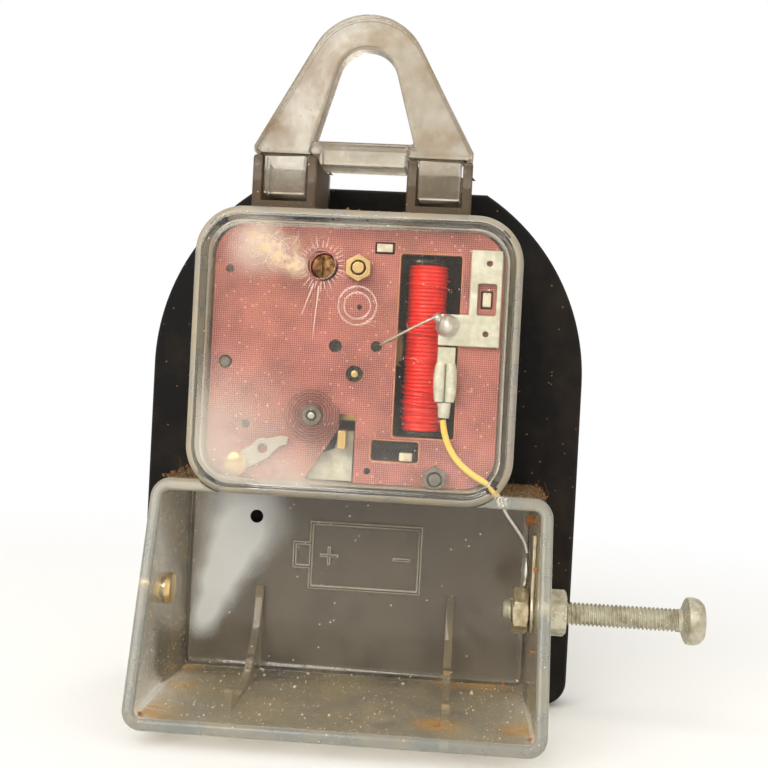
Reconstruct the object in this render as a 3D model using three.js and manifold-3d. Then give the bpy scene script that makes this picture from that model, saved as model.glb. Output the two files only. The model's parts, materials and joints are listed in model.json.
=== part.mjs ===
// Battery clock and timer movement in a clear case, seen from its service side (-Y).
// Lengths are millimetres. X is right, Z is up, and the dial faces +Y.
// "Height" is measured from the dial plate towards the service side, so height = -Y inside the
// movement group, whose own origin is on the hands' centre arbor.
import * as THREE from 'three';
import { mergeVertices } from 'three/addons/utils/BufferGeometryUtils.js';
import Module from 'manifold-3d';

const wasm = await Module();
wasm.setup();

// ---- driving dimensions --------------------------------------------------------------------
const GAP = 0.3;                    // clearance between neighbouring pieces
const WALL = 2;                     // clear mouldings
const CELL_DIAMETER = 34.2;

const PLATE = { radius: 41, top: 35, bottom: -61, corner: 4.5, rear: -0.3, web: 2, lip: -9, lipWall: 1.6 };
const DIAL = { near: -2.6, far: -3.1, inset: 2.2 };
const COVER = {
  left: -27.7, right: 27.5, bottom: -21.2, top: 27.4, corner: 8, low: 2.3, face: 27, soft: 1.6,
};
const BOX = {
  left: -33.3, right: 34.6, bottom: -58.7, top: -19.2, corner: 3.2, bottomWall: 2.5, highRim: 38,
  lowRim: 25.5,
};
const CELL_AXIS = { z: -39, height: 20 };
const HANGER = {
  x: -0.7, halfWidth: 19, postWidth: 11.2, postTop: 37.2, rim: 20, loopLow: 14.5, top: 62, openTop: 56.5,
};

const FRONT_PLATE = { low: 6.5, high: 7.7 };
const REAR_PLATE = { low: 20.5, high: 22, left: -24.9, right: 24.7, bottom: -18.9, top: 24.9, corner: 6 };
const COIL = {
  x: 11.65, height: 17.3, low: -10.1, high: 20.2, flange: 0.8, radius: 3.5, flangeRadius: 3.9,
};

const STAFF = { x: -6.8, z: -7.37 };          // balance staff
const INDEX = { x: -8.6, z: -0.5 };           // index wheel arbor
const SECOND = { x: -3.5, z: 4.6 };           // second wheel arbor
const THIRD = { x: 3.5, z: 4.8 };             // third wheel arbor
const MINUTE_STUD = { x: 3.6, z: -6.235 };    // motion work stud
const REGULATOR = { x: -6.07, z: 17.97 };     // slotted regulating screw
const ARM_PIVOT = { x: -19.5, z: -16.24 };
const PILLARS = { top: { x: -0.09, z: 17.95 }, right: { x: 14.57, z: -17 }, left: { x: -22.3, z: 1.05 } };
const BRACKET_TOP = 22.9;
const LEAD_RADIUS = 0.55;

// ---- solids --------------------------------------------------------------------------------
// Turns a closed three.js geometry into a manifold solid whose faces point out.
function solid(geometry) {
  const bare = geometry.clone();
  bare.deleteAttribute('normal');
  bare.deleteAttribute('uv');
  const merged = mergeVertices(bare, 1e-4);
  const place = merged.attributes.position.array;
  const corners = [];
  let volume = 0;
  for (let i = 0; i < merged.index.count; i += 3) {
    const [a, b, c] = [0, 1, 2].map((k) => merged.index.array[i + k]);
    if (a === b || b === c || c === a) continue;
    corners.push(a, b, c);
    const [p, q, r] = [a, b, c].map((k) => new THREE.Vector3().fromArray(place, 3 * k));
    volume += p.dot(q.cross(r));
  }
  if (volume < 0) corners.reverse();
  const mesh = new wasm.Mesh({
    numProp: 3,
    vertProperties: Float32Array.from(place),
    triVerts: Uint32Array.from(corners),
  });
  return new wasm.Manifold(mesh);
}

function join(...solids) {
  return solids.reduce((whole, piece) => whole.add(piece));
}

function cut(body, ...tools) {
  return tools.reduce((rest, tool) => rest.subtract(tool), body);
}

// An outline in the X-Z plane, extruded from one height to another.
function prism(shape, low, high, curveSegments = 10) {
  const geometry = new THREE.ExtrudeGeometry(
    shape,
    { depth: high - low, bevelEnabled: false, curveSegments },
  );
  geometry.translate(0, 0, low);
  geometry.rotateX(Math.PI / 2);
  return solid(geometry);
}

// The same, with a soft edge all round the high end.
function softPrism(shape, low, high, soft, curveSegments = 10) {
  const geometry = new THREE.ExtrudeGeometry(shape, {
    depth: high - low,
    bevelThickness: soft,
    bevelSize: soft,
    bevelOffset: -soft,
    bevelSegments: 2,
    curveSegments,
  });
  geometry.translate(0, 0, low - soft);
  geometry.rotateX(Math.PI / 2);
  const skirt = new THREE.BoxGeometry(400, 2 * soft, 400);
  skirt.translate(0, -low + soft, 0);
  return solid(geometry).subtract(solid(skirt));
}

function block(x0, x1, z0, z1, low, high) {
  const geometry = new THREE.BoxGeometry(x1 - x0, high - low, z1 - z0);
  geometry.translate((x0 + x1) / 2, -(low + high) / 2, (z0 + z1) / 2);
  return solid(geometry);
}

// A profile of [radius, height] pairs turned about an axis along Y.
function turned(profile, segments = 16) {
  const points = profile.map(([radius, height]) => new THREE.Vector2(radius, -height));
  return solid(new THREE.LatheGeometry(points, segments));
}

function rod(radius, low, high, segments = 16) {
  return turned([[0, low], [radius, low], [radius, high], [0, high]], segments);
}

// A profile of [radius, x] pairs turned about the battery axis, which runs along X.
function turnedAlongX(profile, segments = 20) {
  const geometry = new THREE.LatheGeometry(
    profile.map(([radius, x]) => new THREE.Vector2(radius, x)),
    segments,
  );
  geometry.rotateZ(-Math.PI / 2);
  geometry.translate(0, -CELL_AXIS.height, CELL_AXIS.z);
  return solid(geometry);
}

function moved(body, { x, z }) {
  return body.translate([x, 0, z]);
}

function tube(points, radius, steps, sides = 8) {
  const path = new THREE.CatmullRomCurve3(points.map(([x, z, height]) => new THREE.Vector3(x, -height, z)));
  const section = new THREE.Shape(ring(radius, sides));
  return solid(new THREE.ExtrudeGeometry(section, { steps, extrudePath: path }));
}

// ---- outlines ------------------------------------------------------------------------------
function ring(radius, sides, turn = 0) {
  return Array.from({ length: sides }, (_, i) => {
    const angle = turn + (2 * Math.PI * i) / sides;
    return new THREE.Vector2(radius * Math.cos(angle), radius * Math.sin(angle));
  });
}

function outline(pairs) {
  return new THREE.Shape(pairs.map(([x, z]) => new THREE.Vector2(x, z)));
}

function roundedBox({ left, right, bottom, top, corner }, inset = 0) {
  const [x0, x1, z0, z1] = [left + inset, right - inset, bottom + inset, top - inset];
  const r = Math.max(corner - inset, 0.4);
  const shape = new THREE.Shape();
  shape.moveTo(x0 + r, z0);
  shape.lineTo(x1 - r, z0);
  shape.absarc(x1 - r, z0 + r, r, -Math.PI / 2, 0);
  shape.lineTo(x1, z1 - r);
  shape.absarc(x1 - r, z1 - r, r, 0, Math.PI / 2);
  shape.lineTo(x0 + r, z1);
  shape.absarc(x0 + r, z1 - r, r, Math.PI / 2, Math.PI);
  shape.lineTo(x0, z0 + r);
  shape.absarc(x0 + r, z0 + r, r, Math.PI, 1.5 * Math.PI);
  return shape;
}

// The black plate: round above the arbor, flat on top, straight below with rounded corners.
function arch(inset) {
  const radius = PLATE.radius - inset;
  const top = PLATE.top - inset;
  const bottom = PLATE.bottom + inset;
  const corner = PLATE.corner - inset;
  const shoulder = Math.asin(top / radius);
  const shape = new THREE.Shape();
  shape.moveTo(-radius + corner, bottom);
  shape.lineTo(radius - corner, bottom);
  shape.absarc(radius - corner, bottom + corner, corner, -Math.PI / 2, 0);
  shape.absarc(0, 0, radius, 0, shoulder);
  shape.absarc(0, 0, radius, Math.PI - shoulder, Math.PI);
  shape.absarc(-radius + corner, bottom + corner, corner, Math.PI, 1.5 * Math.PI);
  return shape;
}

// Tooth outline. A tooth centre (or a gap centre) stands at the angle `facing`.
function gearOutline({ teeth, pitch, addendum, dedendum, facing = 0, gapThere = false }) {
  const step = (2 * Math.PI) / teeth;
  const start = facing + (gapThere ? step / 2 : 0);
  const corners = [];
  for (let i = 0; i < teeth; i += 1) {
    const middle = start + i * step;
    const flank = [[-dedendum, -0.27], [addendum, -0.11], [addendum, 0.11], [-dedendum, 0.27]];
    for (const [radius, share] of flank) {
      const angle = middle + share * step;
      corners.push(
        new THREE.Vector2((pitch + radius) * Math.cos(angle), (pitch + radius) * Math.sin(angle)),
      );
    }
  }
  return new THREE.Shape(corners);
}

function gear(spec, low, high) {
  const size = { addendum: 0.26, dedendum: 0.4, ...spec };
  return prism(gearOutline(size), low, high);
}

function angleTo(from, to) {
  return Math.atan2(to.z - from.z, to.x - from.x);
}

// ---- the model -----------------------------------------------------------------------------
const FINISH = {
  clear: [0xd8cfb8, 0.2, 0],
  black: [0x17130f, 0.7, 0],
  dial: [0xe9e2cf, 0.6, 0],
  brass: [0xc69a4c, 0.35, 0.9],
  steel: [0xb9b6ab, 0.35, 0.9],
  zinc: [0xc9c7bb, 0.45, 0.8],
  iron: [0x2b2724, 0.5, 0.6],
  laminate: [0x9b4f42, 0.6, 0],
  copper: [0xd83322, 0.4, 0.2],
  white: [0xece9e0, 0.5, 0],
  solder: [0xd9d8d2, 0.3, 0.9],
  yellow: [0xf0cf5a, 0.45, 0],
};

const clock = new THREE.Group();
const movement = new THREE.Group();
movement.position.set(-HANGER.x, (HANGER.loopLow + HANGER.rim) / 2, -HANGER.openTop);
clock.add(movement);

function add(name, body, finish, at = { x: 0, z: 0 }) {
  const { vertProperties, triVerts } = body.getMesh();
  const geometry = new THREE.BufferGeometry();
  geometry.setAttribute('position', new THREE.BufferAttribute(vertProperties, 3));
  geometry.setIndex(new THREE.BufferAttribute(triVerts, 1));
  const [color, roughness, metalness] = FINISH[finish];
  const mesh = new THREE.Mesh(geometry, new THREE.MeshStandardMaterial({ color, roughness, metalness }));
  mesh.name = name;
  mesh.position.set(at.x, 0, at.z);
  movement.add(mesh);
}

// ---- dial side -----------------------------------------------------------------------------
const BUSH = { outer: 3.6, inner: 2.75, flange: 5.4 };
const HOUR_PIPE = { outer: 2.4, inner: 1.75, end: -6.4 };
const CANNON = { outer: 1.45, inner: 0.95, end: -7.6 };

function addDialSide() {
  const bushHole = rod(BUSH.outer + GAP, -12, 6, 24);
  const pan = prism(arch(0), PLATE.lip, PLATE.rear);
  const hollow = prism(arch(PLATE.lipWall), PLATE.lip - 1, PLATE.rear - PLATE.web);
  add('arched_plate', cut(pan, hollow, bushHole), 'black');
  add('dial', cut(prism(arch(DIAL.inset), DIAL.far, DIAL.near), bushHole), 'dial');
  const nut = prism(new THREE.Shape(ring(5.5, 6)), -5, DIAL.far - GAP);
  add('dial_nut', cut(nut, rod(BUSH.outer + GAP, -6, 0, 24)), 'brass');
  add('centre_bush', turned([
    [BUSH.inner, -5.2], [BUSH.outer, -5.2], [BUSH.outer, WALL + GAP], [BUSH.flange, WALL + GAP],
    [BUSH.flange, 3.1], [BUSH.inner, 3.1], [BUSH.inner, -5.2],
  ], 24), 'brass');
}

// A hand with a ring at its root, drawn upwards and turned to its rest place.
function hand(length, width, rootRadius, bore, low, high, turn) {
  const blade = outline(
    [[-width / 2, -2], [width / 2, -2], [width, 0.62 * length], [0, length], [-width, 0.62 * length]],
  );
  const body = cut(
    join(prism(blade, low, high), rod(rootRadius, low, high, 20)),
    rod(bore, low - 1, high + 1, 16),
  );
  return body.rotate([0, turn, 0]);
}

function addMotionWork() {
  const toStud = angleTo({ x: 0, z: 0 }, MINUTE_STUD);
  const fromStud = toStud + Math.PI;
  const hourDisc = gear({ teeth: 40, pitch: 5.76, facing: toStud }, 3.5, 4.3);
  const hourPipe = rod(HOUR_PIPE.outer, HOUR_PIPE.end, 4.3, 20);
  add('hour_wheel', cut(join(hourDisc, hourPipe), rod(HOUR_PIPE.inner, -8, 6, 20)), 'brass');
  add('hour_hand', hand(20, 1.7, 3.9, HOUR_PIPE.outer + GAP, -6.1, -5.6, 55), 'iron');

  const leaves = gear({ teeth: 12, pitch: 1.8, facing: toStud }, 4.7, 5.7);
  const cannonPipe = rod(CANNON.outer, CANNON.end, 5.7, 16);
  add('cannon_pinion', cut(join(leaves, cannonPipe), rod(CANNON.inner, -9, 7, 16)), 'steel');
  add('minute_hand', hand(31, 1.2, 2.9, CANNON.outer + GAP, -7.3, -6.8, -60), 'iron');
  add('hand_cap', turned([[0, -8.7], [1.6, -8.7], [2.2, -8.3], [2.2, -7.9], [0, -7.9]]), 'brass');

  const wheel = gear({ teeth: 36, pitch: 5.4, facing: fromStud, gapThere: true }, 4.7, 5.5);
  const pinion = gear({ teeth: 10, pitch: 1.44, facing: fromStud, gapThere: true }, 3.5, 4.9);
  add('minute_wheel', cut(join(wheel, pinion), rod(0.8, 2, 7, 12)), 'brass', MINUTE_STUD);
}

// ---- plates and pillars --------------------------------------------------------------------
function addPlates() {
  const blank = prism(roundedBox(REAR_PLATE, 0.4), FRONT_PLATE.low, FRONT_PLATE.high);
  const pivots = [STAFF, INDEX, SECOND, THIRD].map((at) => moved(rod(0.75, 0, 9, 10), at));
  const seats = Object.values(PILLARS).map((at) => moved(rod(1.2, 0, 9, 12), at));
  const centre = rod(CANNON.inner, 0, 9, 16);
  const stud = moved(rod(0.5, 2.6, FRONT_PLATE.low + 0.5, 12), MINUTE_STUD);
  add('front_plate', join(cut(blank, ...pivots, ...seats, centre), stud), 'brass');

  const { low, high } = REAR_PLATE;
  const window = block(6.9, 17.4, -10.4, 20.9, low - 1, high + 1);
  const slot = block(3.4, 11.6, -14.65, -11, low - 1, high + 1);
  const notch = prism(outline([
    [-8.8, -20], [0.6, -20], [0.6, -7], [-2.2, -7], [-2.25, -9.5], [-4.3, -12.85],
  ]), low - 1, high + 1);
  const tabs = [
    block(2.5, 5.8, 20.6, 22.6, low - 1, high + 1),
    block(20.8, 22.8, 12.1, 15.1, low - 1, high + 1),
  ];
  const round = [
    [{ x: 0, z: 0 }, 1.45], [SECOND, 1.1], [THIRD, 0.95], [STAFF, 1.1], [REGULATOR, 2.35], [ARM_PIVOT, 1.1],
    [PILLARS.top, 1.3], [PILLARS.right, 1.3], [PILLARS.left, 1.15],
  ].map(([at, radius]) => moved(rod(radius, low - 1, high + 1, 14), at));
  add(
    'pertinax_plate',
    cut(prism(roundedBox(REAR_PLATE), low, high), window, slot, notch, ...tabs, ...round),
    'laminate',
  );
}

function addPillars() {
  const waist = (studRadius, end) => turned([
    [0, 6.8], [0.9, 6.8], [0.9, FRONT_PLATE.high + GAP], [1.9, FRONT_PLATE.high + GAP],
    [1.9, REAR_PLATE.low - GAP], [studRadius, REAR_PLATE.low - GAP], [studRadius, end], [0, end],
  ]);
  add('pillar_top', waist(1, 24.4), 'brass', PILLARS.top);
  add('pillar_right', waist(1, 24.4), 'steel', PILLARS.right);
  add('pillar_left', waist(0.85, 22.1), 'steel', PILLARS.left);
  const nut = (across) => cut(
    prism(new THREE.Shape(ring(across, 6, Math.PI / 6)), REAR_PLATE.high + GAP, 23.9),
    rod(1 + GAP, 20, 26),
  );
  add('pillar_nut_brass', nut(2.35), 'brass', PILLARS.top);
  add('pillar_nut_steel', nut(2.2), 'steel', PILLARS.right);
}

// ---- going train ---------------------------------------------------------------------------
function addTrain() {
  const centre = { x: 0, z: 0 };
  const centreDisc = gear({ teeth: 32, pitch: 4.53, facing: angleTo(centre, THIRD) }, 8.6, 9.4);
  add('centre_wheel', join(centreDisc, rod(0.6, -7.3, 21.9, 12), rod(1.4, 9.4, 10.4, 12)), 'brass');

  const thirdToCentre = angleTo(THIRD, centre);
  const thirdPinion = gear({ teeth: 10, pitch: 1.42, facing: thirdToCentre, gapThere: true }, 8.3, 10.2);
  const thirdDisc = gear({ teeth: 26, pitch: 4.55, facing: angleTo(THIRD, SECOND) }, 11, 11.8);
  add('third_wheel', join(thirdPinion, thirdDisc, rod(0.45, 7, 20.9, 10)), 'brass', THIRD);

  const secondPinion = gear(
    { teeth: 14, pitch: 2.45, facing: angleTo(SECOND, THIRD), gapThere: true },
    10.8,
    12,
  );
  const secondDisc = gear({ teeth: 22, pitch: 4.4, facing: angleTo(SECOND, INDEX) }, 13.2, 14);
  add('second_wheel', join(secondPinion, secondDisc, rod(0.45, 7, 21.6, 10)), 'brass', SECOND);

  const indexPinion = gear(
    { teeth: 14, pitch: 2.81, facing: angleTo(INDEX, SECOND), gapThere: true },
    13,
    14.2,
  );
  const ratchet = {
    teeth: 30, pitch: 4.7, addendum: 0.3, dedendum: 0.3, facing: angleTo(INDEX, STAFF), gapThere: true,
  };
  add('index_wheel', join(indexPinion, gear(ratchet, 9.7, 10.4), rod(0.45, 7, 15.2, 10)), 'brass', INDEX);

  const bridge = prism(
    roundedBox({ left: -18, right: -6.6, bottom: -2.6, top: 1.6, corner: 1.6 }),
    14.6,
    15.5,
    5,
  );
  const foot = block(-18, -14.6, -2.4, 1.4, FRONT_PLATE.high + GAP, 15);
  add('index_cock', cut(join(bridge, foot), moved(rod(0.8, 14, 16, 12), INDEX)), 'brass');
}

// ---- balance -------------------------------------------------------------------------------
const BALANCE = { radius: 9, rim: 1.5, low: 16.6, high: 17.8 };
const SPRING = {
  inner: 2.05, outer: 4.7, turns: 6, thickness: 0.11, low: 22.8, high: 23.4, tail: { x: 4.35, z: -3.3 },
};

// The hairspring is one ribbon: a flat spiral and a short tail to its stud.
function springLine() {
  const steps = 18 * SPRING.turns;
  const middle = [];
  for (let i = 0; i <= steps; i += 1) {
    const angle = 0.3 + (2 * Math.PI * i) / 18;
    const radius = SPRING.inner + ((SPRING.outer - SPRING.inner) * i) / steps;
    middle.push(new THREE.Vector2(radius * Math.cos(angle), radius * Math.sin(angle)));
  }
  const last = middle[middle.length - 1];
  const end = new THREE.Vector2(SPRING.tail.x, SPRING.tail.z);
  const bow = new THREE.Vector2(last.x + 0.6, end.y + 2.4);
  for (const share of [0.34, 0.67, 1]) {
    const a = last.clone().lerp(bow, share);
    middle.push(a.lerp(bow.clone().lerp(end, share), share));
  }
  return middle;
}

// A strip of constant thickness that follows a line in the X-Z plane.
function ribbon(middle, thickness, low, high) {
  const places = [];
  middle.forEach((point, i) => {
    const before = middle[Math.max(i - 1, 0)];
    const after = middle[Math.min(i + 1, middle.length - 1)];
    const along = after.clone().sub(before).normalize().multiplyScalar(thickness / 2);
    for (const [side, height] of [[1, low], [-1, low], [-1, high], [1, high]]) {
      places.push(point.x - side * along.y, -height, point.y + side * along.x);
    }
  });
  const faces = [];
  const quad = (a, b, c, d) => faces.push(a, b, c, a, c, d);
  for (let i = 0; i + 1 < middle.length; i += 1) {
    for (let k = 0; k < 4; k += 1) {
      const next = (k + 1) % 4;
      quad(4 * i + k, 4 * i + next, 4 * i + 4 + next, 4 * i + 4 + k);
    }
  }
  const end = 4 * (middle.length - 1);
  quad(3, 2, 1, 0);
  quad(end, end + 1, end + 2, end + 3);
  const geometry = new THREE.BufferGeometry();
  geometry.setAttribute('position', new THREE.Float32BufferAttribute(places, 3));
  geometry.setIndex(faces);
  return solid(geometry);
}

function addBalance() {
  const { radius, rim, low, high } = BALANCE;
  const hoop = cut(rod(radius, low, high, 48), rod(radius - rim, low - 1, high + 1, 48));
  const arms = join(
    block(-radius + 0.4, radius - 0.4, -0.8, 0.8, low + 0.2, high - 0.2),
    rod(2, low, high, 20),
  );
  add('balance_wheel', cut(join(hoop, arms), rod(0.95, low - 1, high + 1, 12)), 'brass', STAFF);
  const finger = block(0, 1.7, -0.3, 0.3, 9.8, 10.3);
  const pivot = [[0, 7], [0.4, 7], [0.4, 8], [0.6, 8], [0.6, 24.1], [0, 24.1]];
  add('balance_staff', join(turned(pivot, 12), rod(1, 9.7, 10.4, 12), finger), 'steel', STAFF);
  add('collet', cut(rod(1.7, 22.5, 23.7, 20), rod(0.9, 22, 24, 12)), 'steel', STAFF);
  add('hairspring', ribbon(springLine(), SPRING.thickness, SPRING.low, SPRING.high), 'steel', STAFF);
  add(
    'stud_carrier',
    prism(
      outline([[-7.4, -18.6], [0.2, -18.6], [0.2, -9.9], [-2.4, -9.9], [-3, -13], [-7.4, -15]]),
      18.4,
      19.2,
    ),
    'zinc',
  );
  add('hairspring_stud', block(-2.2, -0.8, -12.75, -9.65, 19.5, 23.6), 'brass');
}

function addRegulator() {
  const arm = outline([
    [-20.6, -15.3], [-18.6, -17.5], [-14.4, -15.2], [-12, -12.9],
    [-10.9, -12.6], [-10.6, -11.3], [-12, -11.2], [-15.6, -12.1],
  ]);
  const body = join(
    prism(arm, 22.3, 22.9),
    moved(rod(2, 22.3, 23.3, 20), ARM_PIVOT),
    moved(rod(0.8, 20.2, 22.5, 12), ARM_PIVOT),
    moved(rod(1.8, 22.3, 22.9, 16), { x: -15, z: -13.47 }),
  );
  add('regulator_arm', cut(body, moved(rod(0.85, 22, 24, 16), { x: -15, z: -13.47 })), 'steel');
  const head = turned(
    [[0, 8], [1.1, 8], [1.1, 21.2], [2.05, 21.2], [2.05, 23], [1.85, 23.2], [0, 23.2]],
    24,
  );
  add('regulator_screw', cut(head, block(-0.28, 0.28, -3, 3, 22.5, 24)), 'brass', REGULATOR);
}

// ---- coil and wiring -----------------------------------------------------------------------
// A profile of [radius, z] pairs turned about the coil's own upright axis.
function turnedUpright(profile, segments = 24) {
  const geometry = new THREE.LatheGeometry(
    profile.map(([radius, z]) => new THREE.Vector2(radius, z)),
    segments,
  );
  geometry.rotateX(Math.PI / 2);
  geometry.translate(COIL.x, -COIL.height, 0);
  return solid(geometry);
}

function addCoil() {
  const { low, high, flange, radius, flangeRadius } = COIL;
  const tubeOuter = 1.9;
  const bore = 1.4;
  add('coil_bobbin', turnedUpright([
    [bore, low], [flangeRadius, low], [flangeRadius, low + flange], [tubeOuter, low + flange],
    [tubeOuter, high - flange], [
      flangeRadius,
      high - flange,
    ], [flangeRadius, high], [bore, high], [bore, low],
  ]), 'iron');
  const inner = tubeOuter + GAP;
  const [start, end] = [low + flange + GAP, high - flange - GAP];
  add(
    'coil_winding',
    turnedUpright([[inner, start], [radius, start], [radius, end], [inner, end], [inner, start]], 32),
    'copper',
  );
  const core = turnedUpright([[0, -11.9], [1.1, -11.9], [1.1, 21.6], [0, 21.6]], 16);
  add('coil_core', join(core, block(3.6, 13.2, -12.6, -11.4, 15.7, 19)), 'iron');

  const frame = join(block(7.6, 24, -14.6, 22.6, 12.2, 13), block(2.8, 9, 20.9, 22.3, 12.2, 13));
  const pegs = [
    block(2.8, 5.5, 20.9, 22.3, 12.2, 22.5),
    block(8.35, 10.55, -14.35, -12.95, 12.2, 22.5),
    block(21.1, 22.5, 12.4, 14.8, 12.2, 22.5),
  ];
  add('coil_carrier', cut(join(frame, ...pegs), block(9.6, 13.8, -8, 18, 11, 14)), 'white');
}

function addTerminals() {
  const sheet = outline([
    [13.9, 5.6], [24.2, 5.6], [24.2, 21.9], [18.9, 21.9], [18.9, 10.9], [13.9, 10.9],
  ]);
  const holes = [
    moved(rod(0.5, 20, 25, 12), { x: 22, z: 19.7 }),
    moved(rod(0.5, 20, 25, 12), { x: 21.85, z: 7.8 }),
    block(20.2, 23.4, 10.9, 16.3, 20, 25),
  ];
  add('terminal_bracket', cut(prism(sheet, REAR_PLATE.high + GAP, BRACKET_TOP), ...holes), 'zinc');
  add(
    'solder_joint',
    turned([[0, 23.2], [1.9, 23.2], [1.8, 23.8], [1.2, 24.4], [0, 24.6]], 14),
    'solder',
    { x: 15.5, z: 8.9 },
  );
  const crimp = outline([
    [13.8, 5.3], [17.2, 5.3], [17.3, 0.2], [
      16.3,
      -1.2,
    ], [16.1, -6.6], [14.7, -6.6], [14.6, -1.2], [13.7, 0.2],
  ]);
  add('crimp_terminal', prism(crimp, 22.4, 24.2), 'zinc');
  add(
    'link_wire',
    tube(
      [
        [13.4, 10.3, 23.7], [12.9, 10.6, 23.7], [9, 8.3, 23.4], [5, 5.8, 22.9], [3.9, 5.05, 22.2],
        [3.6, 4.9, 21.4],
      ],
      0.22,
      12,
    ),
    'zinc',
  );
}

const LEAD_ROUTE = [
  [
    15.4,
    -6.95,
    23.3,
  ], [15.9, -9.4, 23.4], [16.9, -11.8, 23.4], [18.6, -14.1, 23.4], [20.9, -15.9, 23.3], [23.2, -17.3, 23.1],
  [25.4, -19.6, 22.7], [27, -22.4, 21.9], [28.9, -25, 21], [30.4, -27.2, 20.3], [31, -29, 20],
];

// ---- clear mouldings -----------------------------------------------------------------------
function addCover() {
  const shell = softPrism(roundedBox(COVER), COVER.low, COVER.face, COVER.soft, 8);
  const hollow = prism(roundedBox(COVER, WALL), COVER.low - 1, COVER.face - WALL, 8);
  const access = moved(rod(2.3, 20, 30, 24), REGULATOR);
  const lead = tube(LEAD_ROUTE, LEAD_RADIUS + 0.4, 30);
  const ringWall = cut(rod(3.3, COVER.face - 0.5, COVER.face + 0.4, 24), rod(2.75, 20, 30, 24));
  const rays = Array.from({ length: 14 }, (_, i) => {
    const ray = block(2.9, 4.8, -0.14, 0.14, COVER.face - 0.5, COVER.face + 0.25);
    return moved(ray.rotate([0, (i * 360) / 14 + 12, 0]), REGULATOR);
  });
  const marked = join(cut(shell, hollow, access, lead), moved(ringWall, { x: 0.28, z: 11.4 }), ...rays);
  add('movement_cover', marked, 'clear');
}

// Side profile of the battery box in the Z-height plane, used to slant its rim.
function rimCutter() {
  const profile = outline([
    [
      BOX.bottom - 1,
      BOX.highRim,
    ], [BOX.bottom + 4, BOX.highRim], [BOX.top + 1, BOX.lowRim], [BOX.top + 1, 60], [BOX.bottom - 1, 60],
  ]);
  const geometry = new THREE.ExtrudeGeometry(profile, { depth: 100, bevelEnabled: false });
  const basis = new THREE.Matrix4().makeBasis(
    new THREE.Vector3(0, 0, 1),
    new THREE.Vector3(0, -1, 0),
    new THREE.Vector3(1, 0, 0),
  );
  geometry.applyMatrix4(basis);
  geometry.translate(-50, 0, 0);
  return solid(geometry);
}

// A rib that cradles the cell: floor to rim, with a round bite for the cell.
function cradleRib(x) {
  const rib = block(x - 0.7, x + 0.7, BOX.bottom + 1, -41, 1, 30);
  return cut(
    rib,
    turnedAlongX(
      [[0, x - 2], [CELL_DIAMETER / 2 + 0.2, x - 2], [CELL_DIAMETER / 2 + 0.2, x + 2], [0, x + 2]],
      40,
    ),
  );
}

function post(side) {
  const { x, halfWidth, postWidth, postTop, rim } = HANGER;
  const outer = x + side * halfWidth;
  const inner = x + side * (halfWidth - postWidth);
  const [x0, x1] = [Math.min(outer, inner), Math.max(outer, inner)];
  const body = block(x0, x1, COVER.top + GAP, postTop, 0.5, rim);
  const channel = block(x0 + 1.6, x1 - 1.6, COVER.top + GAP + 1.6, postTop + 1, 4, rim + 1);
  const foot = block(x0, x1, COVER.top - 8, postTop, 0, WALL);
  return join(cut(body, channel), foot);
}

function addCase() {
  const inside = {
    left: BOX.left + WALL, right: BOX.right - WALL, bottom: BOX.bottom + BOX.bottomWall,
    top: BOX.top - WALL, corner: 1.6,
  };
  const tray = cut(
    prism(roundedBox(BOX), 0, BOX.highRim, 6),
    prism(roundedBox(inside), WALL, 50, 5),
    rimCutter(),
  );
  const ribs = [cradleRib(-17.6), cradleRib(18.4)];
  const coverSpace = prism(roundedBox(COVER, -GAP), WALL, 60, 8);
  const backing = prism(roundedBox(COVER), 0, WALL, 8);
  const bosses = [[-20, 20.5], [20, 20.5], [-20, -14], [20, -14]].map(
    ([x, z]) => moved(rod(2.2, 1, FRONT_PLATE.low - GAP, 14), { x, z }),
  );
  const shell = join(cut(tray, coverSpace), backing, ...ribs, ...bosses, post(-1), post(1));
  const pictogram = join(
    cut(block(-8.6, 12.5, -41, -28.3, 1, 2.35), block(-8, 11.9, -40.4, -28.9, 0, 3)),
    cut(block(-11.7, -8.3, -37.2, -32.2, 1, 2.35), block(-11.1, -8, -36.6, -32.8, 0, 3)),
    block(-6.6, -3.2, -34.9, -34.4, 1, 2.35),
    block(-5.15, -4.65, -36.35, -32.95, 1, 2.35),
    block(7.2, 10.4, -34.9, -34.4, 1, 2.35),
  );
  const bores = [
    rod(BUSH.outer + GAP, -1, 4, 24),
    moved(rod(1.2, -1, 4, 20), { x: -19, z: -28 }),
    turnedAlongX([[0, 30], [2.3, 30], [2.3, 37], [0, 37]], 20),
    turnedAlongX([[0, -36], [1.6, -36], [1.6, -30], [0, -30]], 16),
    tube(LEAD_ROUTE, LEAD_RADIUS + 0.4, 30),
  ];
  add('clear_case', cut(join(shell, pictogram), ...bores), 'clear');
}

// Point where a line from `from` touches a circle, on the side given.
function touch(centre, radius, from, side) {
  const away = new THREE.Vector2(from.x - centre.x, from.y - centre.y);
  const angle = away.angle() + side * Math.acos(radius / away.length());
  return {
    angle,
    point: new THREE.Vector2(centre.x + radius * Math.cos(angle), centre.y + radius * Math.sin(angle)),
  };
}

// A tent shape with a round top: base half-width, base height, and the round at the top.
function tent(halfWidth, base, shoulder, centreZ, radius) {
  const centre = new THREE.Vector2(0, centreZ);
  const right = touch(centre, radius, new THREE.Vector2(halfWidth, shoulder), 1);
  const shape = new THREE.Shape();
  shape.moveTo(-halfWidth, base);
  shape.lineTo(halfWidth, base);
  shape.lineTo(halfWidth, shoulder);
  shape.absarc(0, centreZ, radius, right.angle, Math.PI - right.angle);
  shape.lineTo(-halfWidth, shoulder);
  return shape;
}

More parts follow.
